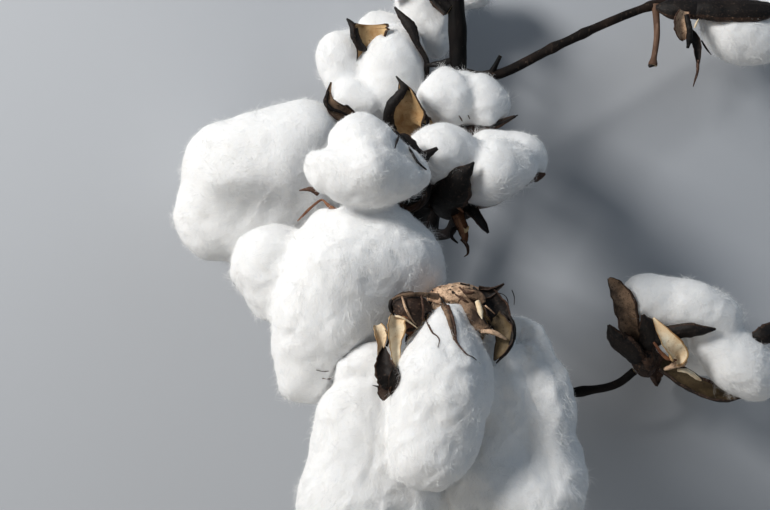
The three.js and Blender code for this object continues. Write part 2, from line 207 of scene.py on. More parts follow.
class Paint:
    """A material whose nodes are made one at a time."""

    def __init__(self, name):
        self.material = bpy.data.materials.new(name)
        self.material.use_nodes = True
        self.tree = self.material.node_tree
        self.tree.nodes.clear()

    def node(self, kind, settings, *values, **named):
        """Makes a node, sets it up, feeds its sockets and returns its outputs as wires."""
        made = self.tree.nodes.new(kind)
        for key, value in settings.items():
            setattr(made, key, value)
        fed = list(zip(made.inputs, values))
        fed += [(self.input_of(made, name), value) for name, value in named.items()]
        for socket, value in fed:
            if isinstance(value, Wire):
                self.tree.links.new(value.socket, socket)
            elif value is not None:
                socket.default_value = value
        return [Wire(self, out) for out in made.outputs]

    @staticmethod
    def input_of(made, name):
        """The enabled socket with that name, written with underscores in place of blanks."""
        wanted = name.replace("_", " ").lower()
        return next(s for s in made.inputs if s.name.lower() == wanted and s.enabled)

    def place(self):
        """Where a point of the piece lies, in metres."""
        return self.node("ShaderNodeNewGeometry", {})[0]

    def grain(self, place, per_metre, detail=3.0, twist=0.0, rough=0.5):
        """Noise from 0 to 1, with so many grains a metre."""
        noise = self.node(
            "ShaderNodeTexNoise", {},
            Vector=place, Scale=per_metre, Detail=detail, Roughness=rough, Distortion=twist,
        )
        return noise[0]

    def stretched(self, place, scale):
        """The place with each of its axes scaled, so that grain runs long where the scale is small."""
        return self.node("ShaderNodeVectorMath", {"operation": "MULTIPLY"}, place, scale)[0]

    def mix(self, share, one, two):
        """The first colour where the share is 0, and the second where it is 1."""
        unused = [None] * 5
        return self.node("ShaderNodeMix", {"data_type": "RGBA"}, share, *unused, one, two)[2]

    def bump(self, height, strength, depth):
        """A normal for relief that is so many millimetres deep."""
        return self.node("ShaderNodeBump", {}, Strength=strength, Distance=depth * MM, Height=height)[0]

    def surface(self, **sockets):
        """Ends the material with a shader that has these sockets."""
        shader = self.node("ShaderNodeBsdfPrincipled", {}, **sockets)[0]
        self.node("ShaderNodeOutputMaterial", {}, shader)
        return self.material


def rgba(r, g, b):
    return (r, g, b, 1.0)


# Finishes

def lint_paint():
    """Loose cotton: soft white, with faint cream and cool patches, painted shade in the hollows of its tufts
    and fine tangled strands.
    """
    paint = Paint("lint")
    place = paint.place()
    flow = paint.stretched(place, (1.0, 0.45, 1.0))
    tufts = paint.grain(flow, 450, detail=3.0, twist=1.5, rough=0.5)
    wool = paint.grain(flow, 1200, detail=3.0, twist=3.0, rough=0.6)
    patch = paint.grain(place, 55, detail=2.0)
    warm = paint.mix(patch, rgba(0.915, 0.92, 0.925), rgba(0.94, 0.932, 0.905))
    relief = tufts * 0.5 + wool * 0.5
    # The colour goes to a cooler grey where the relief is low: painted shade in the hollows between tufts.
    colour = paint.mix(((relief - 0.33) * 3.0).clamp(), rgba(0.9, 0.905, 0.91), warm)
    return paint.surface(
        Base_Color=colour,
        Roughness=0.95,
        Specular_IOR_Level=0.1,
        Subsurface_Weight=0.7,
        Subsurface_Radius=(1.0, 0.96, 0.92),
        Subsurface_Scale=2.6 * MM,
        Sheen_Weight=0.25,
        Sheen_Roughness=0.6,
        Normal=paint.bump(relief, 0.7, 0.45),
    )


def fibre_paint(name, colour):
    """Single fibres of lint that stand proud of it, of one plain white."""
    return Paint(name).surface(Base_Color=colour, Roughness=0.85, Specular_IOR_Level=0.2)


def husk_paint(name, dark, light, spot, gloss, relief=0.4, spots=0.56):
    """Dry leathery husk: mottled and speckled."""
    paint = Paint(name)
    place = paint.place()
    cloud = paint.grain(place, 160, detail=5.0, twist=0.6, rough=0.6)
    speck = paint.grain(place, 1300, detail=3.0, twist=0.8)
    base = paint.mix(((cloud - 0.35) * 2.6).clamp(), dark, light)
    colour = paint.mix(((speck - spots) * 6).clamp(), base, spot)
    return paint.surface(
        Base_Color=colour,
        Roughness=gloss + 0.25 * speck,
        Specular_IOR_Level=0.25,
        Normal=paint.bump(cloud * 0.6 + speck * 0.4, 0.8, relief),
    )


def bark_paint(name, dark, light, worn):
    """Dry stem: near black or brown, and lighter where the skin has worn along the ridges."""
    paint = Paint(name)
    place = paint.place()
    along = paint.stretched(place, (1.0, 0.22, 1.0))
    ridge = paint.grain(along, 900, detail=4.0, twist=0.4, rough=0.6)
    patch = paint.grain(place, 90, detail=3.0)
    fleck = paint.grain(place, 700, detail=2.0)
    base = paint.mix(((patch - 0.42) * 4).clamp(), dark, light)
    ridged = paint.mix(((ridge - 0.58) * 5).clamp(), base, worn)
    colour = paint.mix(((fleck - 0.72) * 9).clamp(), ridged, rgba(0.16, 0.12, 0.095))
    return paint.surface(
        Base_Color=colour,
        Roughness=0.5 + 0.3 * ridge,
        Specular_IOR_Level=0.12,
        Normal=paint.bump(ridge * 0.7 + fleck * 0.3, 0.8, 0.3),
    )


LINT = lint_paint()
FIBRES = [
    fibre_paint("fibre_white", rgba(0.98, 0.98, 0.975)),
    fibre_paint("fibre_cream", rgba(0.93, 0.925, 0.9)),
    fibre_paint("fibre_grey", rgba(0.78, 0.79, 0.81)),
]
FIBRE_SHARES = (0.5, 0.35, 0.15)
# The stem's bark tones are near black, darker than any dry stem: its own dark brown with painted shade, as a
# stem in shade looks.
BARK_WITH_PAINTED_SHADE = bark_paint(
    "bark", rgba(0.003, 0.003, 0.003), rgba(0.009, 0.0065, 0.006), rgba(0.024, 0.017, 0.014)
)
# The twig's dark tones are deepened towards black as well: its own dark brown with painted shade.
TWIG_BARK_WITH_PAINTED_SHADE = bark_paint(
    "twig_bark", rgba(0.009, 0.007, 0.006), rgba(0.028, 0.018, 0.014), rgba(0.1, 0.07, 0.052)
)
BROWN_BARK = bark_paint(
    "brown_bark", rgba(0.09, 0.05, 0.033), rgba(0.21, 0.125, 0.085), rgba(0.32, 0.21, 0.15)
)
CUT_WOOD = husk_paint("cut_wood", rgba(0.4, 0.3, 0.18), rgba(0.58, 0.47, 0.31), rgba(0.25, 0.17, 0.1), 0.7)

# Husk finishes: darkest and lightest tone, speckles and gloss, and where it isn't the usual, how deep the
# relief is and how few the speckles are
HUSK_TONES = {
    # The near-black tone is dry husk seen in shade: its own dark brown with painted shade, darker than dry
    # husk is.
    "black": (rgba(0.004, 0.0035, 0.0035), rgba(0.015, 0.01, 0.008), rgba(0.05, 0.034, 0.026), 0.5),
    "brown": (rgba(0.03, 0.013, 0.008), rgba(0.115, 0.057, 0.034), rgba(0.22, 0.14, 0.1), 0.5),
    "rust": (rgba(0.08, 0.027, 0.016), rgba(0.33, 0.145, 0.065), rgba(0.05, 0.02, 0.013), 0.5),
    # The olive tone is a shaded copy of the tan inner face, for leaves that lie in shade: painted shade.
    "olive": (rgba(0.06, 0.042, 0.022), rgba(0.19, 0.135, 0.07), rgba(0.05, 0.03, 0.02), 0.5),
    "tan": (rgba(0.36, 0.19, 0.075), rgba(0.64, 0.46, 0.24), rgba(0.16, 0.07, 0.03), 0.5, 0.4, 0.61),
    "straw": (rgba(0.76, 0.56, 0.34), rgba(0.97, 0.88, 0.68), rgba(0.45, 0.29, 0.16), 0.5, 0.4, 0.6),
    "cork": (rgba(0.25, 0.145, 0.09), rgba(0.95, 0.67, 0.45), rgba(0.09, 0.047, 0.03), 0.65, 1.0, 0.55),
    "pitted": (rgba(0.035, 0.021, 0.014), rgba(0.4, 0.26, 0.165), rgba(0.02, 0.013, 0.01), 0.65, 0.9),
    "rim": (rgba(0.012, 0.008, 0.006), rgba(0.07, 0.036, 0.023), rgba(0.16, 0.1, 0.065), 0.5),
}
HUSKS = [husk_paint("husk_" + name, *tone) for name, tone in HUSK_TONES.items()]
HUSK_KIND = {name: k for k, name in enumerate(HUSK_TONES)}


# Lint

LOCK_STEP = 1.3  # spacing of a single lock's surface points
SETTLE = 45  # how often a lock's facets are drawn smooth
BOLL_STEP = 1.2  # spacing of a boll's surface points
MELT = {"left": 28}  # how often the creases between a boll's locks are drawn smooth
MELT_MOST = 9  # and in the other bolls
PUFF = 0.35  # lint swells this far, to touch its neighbours

# How far the lint swells into lobes, lumps and tufts, and how big these are
LOBED = 0.8
LOBE_SIZE = 15
LUMPY = 0.45
LUMP_SIZE = 6.5
TUFTED = {"front": 0.55, "centre": 0.45, "left": 0.2}
TUFTED_MOST = 0.34
TUFT_SIZE = 3.4

# Folds in the lint, or bulges where the depth is below nought: points along each as the branch is looked
# down on, how deep and how wide, and whether it goes round the sides of the lint too
FOLDS = {
    "centre": [
        ([(-23, 36.8), (-17, 36.3), (-13, 36.1)], 2.5, 2.2, True),
        ([(-13, 36.1), (-9, 33.5), (-5.5, 29)], 0.8, 3.2, False),
        ([(12, 35), (4, 36), (-2, 35.5)], 0.6, 1.8, False),
        ([(-4.5, 29), (-2.5, 26)], -1.2, 3.0, False),
        ([(-23.3, 28), (-21.5, 27.4)], 0.5, 1.2, False),
        ([(11, 36), (17, 27), (18, 19)], 3.0, 7.0, False),
        ([(-26.5, 31), (-27.5, 26)], -0.9, 4.0, True),
        ([(-31, -45), (-26, -47), (-21, -47)], -3.5, 6.0, True),
        ([(13, 13), (20, 4), (23, -4)], 1.8, 6.0, True),
    ],
    "front": [
        ([(-24, -43), (-17, -41.5), (-12, -39.5), (-6, -39)], 1.8, 2.6, True),
        ([(2.5, -35.5), (2.5, -40.5)], 1.0, 2.2, True),
        ([(41, -19), (50, -24), (57, -31)], 1.6, 6.0, True),
        ([(44, -22), (48, -42), (47, -62)], 8.0, 13.0, False),
    ],
    "left": [
        ([(-25, 44), (-29, 36), (-34, 28)], -5.5, 10.0, False),
        ([(-58, 41), (-47, 43), (-36, 43)], -2.0, 7.0, False),
        ([(-64, 19), (-52, 18), (-38, 17)], 1.1, 9.0, False),
        ([(-50, 29), (-60, 27)], -1.5, 7.0, False),
        ([(-65, 0), (-58, -1.5), (-51, -1.5)], -3.2, 6.0, True),
    ],
    "rear": [([(-7, 92), (0, 95), (7, 94)], 1.5, 6.0, True)],
}


def evened(points, triangles, spacing):
    """The outer skin of closed shapes as evenly spaced points, edges and triangles."""
    draft = mesh_object("draft", points, triangles, [])
    remesh = draft.modifiers.new("even", "REMESH")
    remesh.mode = "VOXEL"
    remesh.voxel_size = spacing * MM
    made = bpy.data.meshes.new_from_object(draft.evaluated_get(bpy.context.evaluated_depsgraph_get()))
    skin = read_mesh(made)
    rough = draft.data
    bpy.data.objects.remove(draft)
    bpy.data.meshes.remove(rough)
    bpy.data.meshes.remove(made)
    return skin


def merged_mesh(source):
    """A mesh with the points that lie on each other made one."""
    shape = bmesh.new()
    shape.from_mesh(source)
    bmesh.ops.remove_doubles(shape, verts=shape.verts, dist=0.01 * MM)
    mesh = bpy.data.meshes.new("merged")
    shape.to_mesh(mesh)
    shape.free()
    points, _, triangles = read_mesh(mesh)
    bpy.data.meshes.remove(mesh)
    return points, triangles


def lock_shape(node, seed):
    """One lock of lint: the solid made round, kept as big as it was, and swelled into uneven lobes."""
    points, edges, triangles = evened(*merged_mesh(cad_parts[node].data), LOCK_STEP)
    count = len(points)
    round_points = relaxed(points, edges, count, SETTLE)
    normals = vertex_normals(round_points, triangles)
    lost = ((points - round_points) * normals).sum(axis=1, keepdims=True)
    points = round_points + normals * relaxed(lost, edges, count, SETTLE)
    swell = PUFF + LOBED * lumps(points, LOBE_SIZE, seed)
    return points + vertex_normals(points, triangles) * swell[:, None], triangles


def nearness(points, line, width):
    """From 0 to 1, how near points are to a line drawn over them as they are looked down on."""
    nearest = np.full(len(points), np.inf)
    for a, b in zip(np.array(line, float), np.array(line[1:], float)):
        share = np.clip(((points[:, :2] - a) @ (b - a)) / ((b - a) @ (b - a)), 0, 1)
        nearest = np.minimum(nearest, np.linalg.norm(points[:, :2] - a - share[:, None] * (b - a), axis=1))
    return np.exp(-((nearest / width) ** 2))


class Boll:
    """The lint of one boll: its locks run together at soft creases, ready for fibres to be laid on it."""

    def __init__(self, name, seed):
        self.name = name
        self.nodes = sorted(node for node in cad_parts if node.startswith(name + "_lock_"))
        self.seed = seed
        self.hub = np.array(BURS[name]["hub"], float)
        parts = [lock_shape(node, seed + 3 * k) for k, node in enumerate(self.nodes)]
        points, edges, triangles = evened(*joined(parts), BOLL_STEP)
        points = relaxed(points, edges, len(points), MELT.get(name, MELT_MOST))
        normals = vertex_normals(points, triangles)
        upward = np.clip(normals[:, 2] * 3, 0, 1)
        not_below = np.clip(normals[:, 2] * 3 + 2, 0, 1)
        drift = np.stack([lumps(points, 8, seed + 20 + axis) for axis in range(3)], axis=1)
        swell = LUMPY * lumps(points + 3 * drift, LUMP_SIZE, seed + 1)
        swell += TUFTED.get(name, TUFTED_MOST) * lumps(points + 4 * drift, TUFT_SIZE, seed + 2)
        for line, depth, width, all_round in FOLDS.get(name, ()):
            swell -= depth * nearness(points, line, width) * (not_below if all_round else upward)
        points = points + normals * swell[:, None]
        points[:, 2] = np.maximum(points[:, 2], FLOOR_CLEAR)
        self.points = points
        self.triangles = triangles
        self.low = points.min(axis=0)
        self.high = points.max(axis=0)
        self.tree = BVHTree.FromPolygons(points.tolist(), triangles.tolist())

    def holds(self, places):
        """Which places lie inside this boll's lint."""
        near = np.all((places > self.low) & (places < self.high), axis=1)
        inside = np.zeros(len(places), bool)
        for i in np.flatnonzero(near):
            spot, facing, _, _ = self.tree.find_nearest(Vector(places[i]))
            inside[i] = (Vector(places[i]) - spot).dot(facing) < 0
        return inside

    def comb(self, at):
        """The way the fibres lie: outward from the bur, in swirls."""
        swirl = np.stack([lumps(at, 9, self.seed + 11 + axis) for axis in range(3)], axis=1)
        return unit(at - self.hub) + 1.3 * swirl


# Fibres

COMBED_PER_MM2 = 0.6
COMBED_LENGTH = (2.5, 6.0)
COMBED_WIDTH = (0.05, 0.12)
LOOSE_PER_MM2 = 1.6
LOOSE_LENGTH = (0.6, 1.8)  # where they aren't clumped, which makes them longer
LOOSE_WIDTH = (0.06, 0.1)
CLUMP_SIZE = 4
ROOT_DEPTH = 0.12  # how far under the lint a fibre starts
COVER = 1.2  # a place is covered where another boll holds what is this far above it


def ribbon_faces(count, steps):
    """Triangles of ribbons that each have two points a step and come to one point at the tip."""
    halves = ((0, 1, 3), (0, 3, 2))
    strip = [(2 * k + i, 2 * k + j, 2 * k + m) for k in range(steps - 1) for i, j, m in halves]
    strip.append((2 * steps - 2, 2 * steps - 1, 2 * steps))
    return (np.arange(count)[:, None, None] * (2 * steps + 1) + np.array(strip)).reshape(-1, 3)


def ribbons(line, sides, half):
    """Flat tapering ribbons round lines of points: points and triangles."""
    steps = line.shape[1] - 1
    taper = np.linspace(1, 0.6, steps)[None, :, None]
    reach = sides[:, :-1] * half[:, None, None] * taper
    pairs = np.stack([line[:, :-1] - reach, line[:, :-1] + reach], axis=2).reshape(len(line), 2 * steps, 3)
    points = np.concatenate([pairs, line[:, -1:]], axis=1).reshape(-1, 3)
    points[:, 2] = np.maximum(points[:, 2], FLOOR_CLEAR)
    return points, ribbon_faces(len(line), steps)


def rolled(way, facing, roll):
    """The direction across a fibre that is turned about its own length."""
    flat = unit(np.cross(way, facing))
    return np.cos(roll)[:, None] * flat + np.sin(roll)[:, None] * np.cross(flat, way)


def laid_flat(way, normals):
    """Directions turned into the plane of the surface."""
    return unit(way - (way * normals).sum(axis=1, keepdims=True) * normals)


def combed_fibres(boll, roots, normals, rng):
    """Long fibres that lie on the lint and curl as they go."""
    count = len(roots)
    step = rng.uniform(*COMBED_LENGTH, count)[:, None] / 3
    lift = rng.uniform(0.02, 0.35, count)[:, None]
    bend = rng.normal(0, 0.35, count)[:, None]
    roll = rng.normal(0, 0.35, count)
    way = laid_flat(boll.comb(roots) + 0.4 * rng.normal(size=(count, 3)), normals)
    line = [roots - ROOT_DEPTH * normals]
    sides = [rolled(way, normals, roll)]
    at = roots
    for rise in (0.8, 1.0, 0.5):
        hits = [boll.tree.find_nearest(Vector(p)) for p in at + way * step]
        at = np.array([hit[0] for hit in hits])
        facing = np.array([hit[1] for hit in hits])
        way = laid_flat(way + bend * np.cross(facing, way), facing)
        line.append(at + facing * rise * lift)
        sides.append(rolled(way, facing, roll))
    half = 0.5 * rng.uniform(*COMBED_WIDTH, count)
    return ribbons(np.stack(line, axis=1), np.stack(sides, axis=1), half)


def loose_fibres(boll, roots, normals, rng):
    """Short fibres that stand off the lint and soften its outline."""
    count = len(roots)
    way = laid_flat(boll.comb(roots) + rng.normal(size=(count, 3)), normals)
    clump = np.maximum(lumps(roots, CLUMP_SIZE, boll.seed + 31), 0)
    reach = (rng.uniform(*LOOSE_LENGTH, count) * (0.7 + 2.8 * clump))[:, None]
    rise = reach * rng.uniform(0.25, 0.9, count)[:, None]
    bend = rng.normal(0, 0.5, count)[:, None] * reach * np.cross(normals, way)
    line = [roots - ROOT_DEPTH * normals]
    for share in (0.5, 1.0):
        lift = rise * (1.6 * share - 0.6 * share ** 2)
        line.append(roots + way * reach * share + normals * lift + bend * share ** 2)
    across = rolled(way, normals, rng.uniform(-1.5, 1.5, count))
    half = 0.5 * rng.uniform(*LOOSE_WIDTH, count)
    return ribbons(np.stack(line, axis=1), np.repeat(across[:, None], 3, axis=1), half)


def scattered(points, triangles, per_mm2, rng):
    """Random places on a surface, with its normals there."""
    corner = points[triangles]
    cross = np.cross(corner[:, 1] - corner[:, 0], corner[:, 2] - corner[:, 0])
    areas = 0.5 * np.linalg.norm(cross, axis=1)
    count = int(areas.sum() * per_mm2)
    pick = rng.choice(len(triangles), count, p=areas / areas.sum())
    mix = rng.random((count, 2))
    mix = np.where(mix.sum(axis=1, keepdims=True) > 1, 1 - mix, mix)
    corner = corner[pick]
    one = mix[:, :1] * (corner[:, 1] - corner[:, 0])
    two = mix[:, 1:] * (corner[:, 2] - corner[:, 0])
    return corner[:, 0] + one + two, vertex_normals(points, triangles)[triangles[pick, 0]]


def open_places(boll, bolls, per_mm2, rng):
    """Random places on a boll's lint that no other boll covers."""
    places, normals = scattered(boll.points, boll.triangles, per_mm2, rng)
    covered = np.zeros(len(places), bool)
    for other in bolls:
        if other is not boll:
            covered |= other.holds(places + COVER * normals)
    return places[~covered], normals[~covered]


def add_fibres(boll, bolls, kind, lay, per_mm2, rng):
    """One piece of many fibres that are all laid in one way, each of one of the whites."""
    roots, normals = open_places(boll, bolls, per_mm2, rng)
    points, faces = lay(boll, roots, normals, rng)
    white = rng.choice(len(FIBRES), len(roots), p=FIBRE_SHARES)
    face_white = np.repeat(white, len(faces) // len(roots))
    hair = mesh_object(f"{boll.name}_{kind}", points, faces, FIBRES, face_white, smooth=False)
    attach(hair, "root")


def dress_boll(boll, bolls):
    """A boll's lint, with the fibres that lie on it and those that stand off it."""
    body = mesh_object(boll.name + "_lint", boll.points, boll.triangles, [LINT])
    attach(body, "root")
    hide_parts(*boll.nodes)
    rng = np.random.default_rng(1000 + boll.seed)
    add_fibres(boll, bolls, "combed", combed_fibres, COMBED_PER_MM2, rng)
    add_fibres(boll, bolls, "loose", loose_fibres, LOOSE_PER_MM2, rng)


# Limbs

def smooth_path(path, count):
    """Evenly spaced points on a smooth curve through a limb's points, and its length."""
    given = np.array(path, float)
    ends = [2 * given[0] - given[1], *given, 2 * given[-1] - given[-2]]
    fine = []
    for span in zip(ends, ends[1:], ends[2:], ends[3:]):
        p0, p1, p2, p3 = span
        k1, k2, k3 = np.cumsum([max(np.linalg.norm(b - a), 1e-6) ** 0.5 for a, b in zip(span, span[1:])])
        t = np.linspace(k1, k2, 40)[:, None]
        a1 = (k1 - t) / k1 * p0 + t / k1 * p1
        a2 = (k2 - t) / (k2 - k1) * p1 + (t - k1) / (k2 - k1) * p2
        a3 = (k3 - t) / (k3 - k2) * p2 + (t - k2) / (k3 - k2) * p3
        b1 = (k2 - t) / k2 * a1 + t / k2 * a2
        b2 = (k3 - t) / (k3 - k1) * a2 + (t - k1) / (k3 - k1) * a3
        fine.append((k2 - t) / (k2 - k1) * b1 + (t - k1) / (k2 - k1) * b2)
    fine = np.concatenate(fine)
    gone = np.concatenate([[0], np.cumsum(np.linalg.norm(np.diff(fine, axis=0), axis=1))])
    even = np.linspace(0, gone[-1], count)
    return np.stack([np.interp(even, gone, fine[:, k]) for k in range(3)], axis=1), gone[-1]


def ring_points(line, sides):
    """Directions outward for rings of points round a line, which turn as little as they can, and one ring
    of them as it lies flat."""
    tangents = unit(np.gradient(line, axis=0))
    normal = unit(np.cross(tangents[0], ASIDE))
    frames = []
    for tangent in tangents:
        normal = unit(normal - (normal @ tangent) * tangent)
        frames.append(np.stack([normal, np.cross(tangent, normal)]))
    angle = np.linspace(0, 2 * math.pi, sides, endpoint=False)
    ways = np.stack([np.cos(angle), np.sin(angle)], axis=1)
    return np.einsum("sk,rkc->rsc", ways, np.array(frames)), ways


def limb(name, path, radius, joints, flare, bark, seed):
    """A woody limb with ridges, wrinkles and swollen joints, closed at both ends."""
    _, length = smooth_path(path, 2)
    count = max(12, int(length / 0.7))
    line, length = smooth_path(path, count)
    share = np.linspace(0, 1, count)
    gone = share * length
    thick = radius[0] + (radius[1] - radius[0]) * share
    thick = thick * (1 + flare * np.exp(-gone / (2.2 * radius[0])))
    for where, size in joints:
        thick = thick * (1 + size * np.exp(-(((gone - where * length) / (1.3 * radius[0])) ** 2)))
    sides = 28 if radius[0] > 3 else 18
    out, ways = ring_points(line, sides)
    skin = np.concatenate(
        [
            np.broadcast_to(ways * 3, (count, sides, 2)),
            np.broadcast_to((gone / 9)[:, None, None], (count, sides, 1)),
        ],
        axis=2,
    ).reshape(-1, 3)
    flat = (line[:, None] + out * thick[:, None, None]).reshape(-1, 3)
    relief = 0.055 * lumps(skin, 1.0, seed) + 0.035 * lumps(skin * (2, 2, 1.5), 1.0, seed + 1)
    relief += 0.02 * lumps(flat, 1.2, seed + 2) + 0.05 * lumps(flat, 6, seed + 3)
    reach = thick[:, None] * (1 + relief.reshape(count, sides))
    points = (line[:, None] + out * reach[..., None]).reshape(-1, 3)
    points[:, 2] = np.maximum(points[:, 2], 0.0)
    last = np.arange(sides) + (count - 1) * sides
    caps = np.concatenate([end_faces(np.arange(sides)), end_faces(last[::-1])])
    faces = np.concatenate([grid_faces(count, sides, closed=True), caps])
    kinds = np.zeros(len(faces))
    kinds[-len(caps):] = 1
    body = mesh_object(name + "_bark", points, faces, [bark, CUT_WOOD], kinds)
    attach(body, "root")
    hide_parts(name)


# Each limb: points along its middle, radius at either end, swollen joints as a share of its length and how
# far they swell it, how far its foot flares, and its bark
LIMBS = {
    "main_stem": (
        [
            (10.5, -136, 4.4), (11.5, -57, 15), (13, -17, 23), (16.5, 9, 28),
            (23, 46.5, 34), (27, 68, 38), (26, 94, 42.5), (25, 107, 44.5),
        ],
        (4.5, 2.9), [(0.78, 0.15), (0.9, 0.15)], 0.0, BARK_WITH_PAINTED_SHADE,
    ),
    "upper_twig": (
        [(27, 67.5, 38), (39.5, 66.5, 38), (65, 78.4, 36), (87, 88.6, 33), (113, 98.5, 29.5)],
        (1.9, 1.45), [(0.13, 0.3), (0.41, 0.2), (0.55, 0.2), (0.85, 0.35)], 0.6, TWIG_BARK_WITH_PAINTED_SHADE,
    ),
    "twig_stub": ([(39, 66.5, 38.5), (42.7, 73.8, 40)], (1.1, 0.7), [], 0.5, BARK_WITH_PAINTED_SHADE),
    "hanging_petiole": (
        [(101.5, 94, 32), (101.8, 82, 33.5), (100, 70.8, 34.5)],
        (1.25, 1.0), [(0.98, 0.7)], 0.4, BROWN_BARK,
    ),
    "side_branch": (
        [(11.5, -57, 15.5), (42, -57, 19), (72.5, -52.5, 22), (88, -49, 25), (94.5, -44, 27)],
        (2.1, 1.5), [(0.75, 0.25)], 0.5, BARK_WITH_PAINTED_SHADE,
    ),
    "front_stalk": (
        [(12.5, -38, 19), (21, -32, 45), (26.5, -22, 75), (26.5, -15, 93)],
        (2.3, 1.9), [], 0.5, BARK_WITH_PAINTED_SHADE,
    ),
    "centre_stalk": ([(15.5, 5, 27), (3, 9, 46), (-4, 11, 64)], (2.2, 1.9), [], 0.5, BARK_WITH_PAINTED_SHADE),
    "left_stalk": ([(19, 24, 30.5), (2, 33, 36), (-14, 39.5, 38)], (2.1, 1.8), [], 0.5, BARK_WITH_PAINTED_SHADE),
    "right_stalk": ([(16.5, 8, 28), (23, 8, 45), (25.5, 14, 62)], (2.1, 1.8), [], 0.5, BARK_WITH_PAINTED_SHADE),
    "upper_stalk": ([(21.5, 37, 32.5), (25, 38, 41), (25.5, 41, 48)], (2.0, 1.8), [], 0.4, BARK_WITH_PAINTED_SHADE),
    "rear_stalk": ([(21.5, 42, 33), (12, 48, 24), (4, 54, 20)], (1.9, 1.6), [], 0.5, BARK_WITH_PAINTED_SHADE),
    "top_stalk": (
        [(24.5, 91, 42), (17.5, 96.5, 41.5), (12, 101.5, 36), (11, 104, 28)],
        (1.9, 1.6), [], 0.5, BARK_WITH_PAINTED_SHADE,
    ),
}


# Burs

CUPPED = 0.45  # how far a carpel's margins stand up, as a share of its half width
RAGGED = 0.1  # how far they are notched, as a share of the same
WALL = 1.0  # leathery wall of a carpel at its foot
WALL_TIP = 0.5  # and at its point
STRAND_REST = 0.3  # how high a strand lies on the lint
RIM_OF = {"straw": "tan", "cork": "brown"}  # the margin of a leaf by its inner finish, where it isn't dark

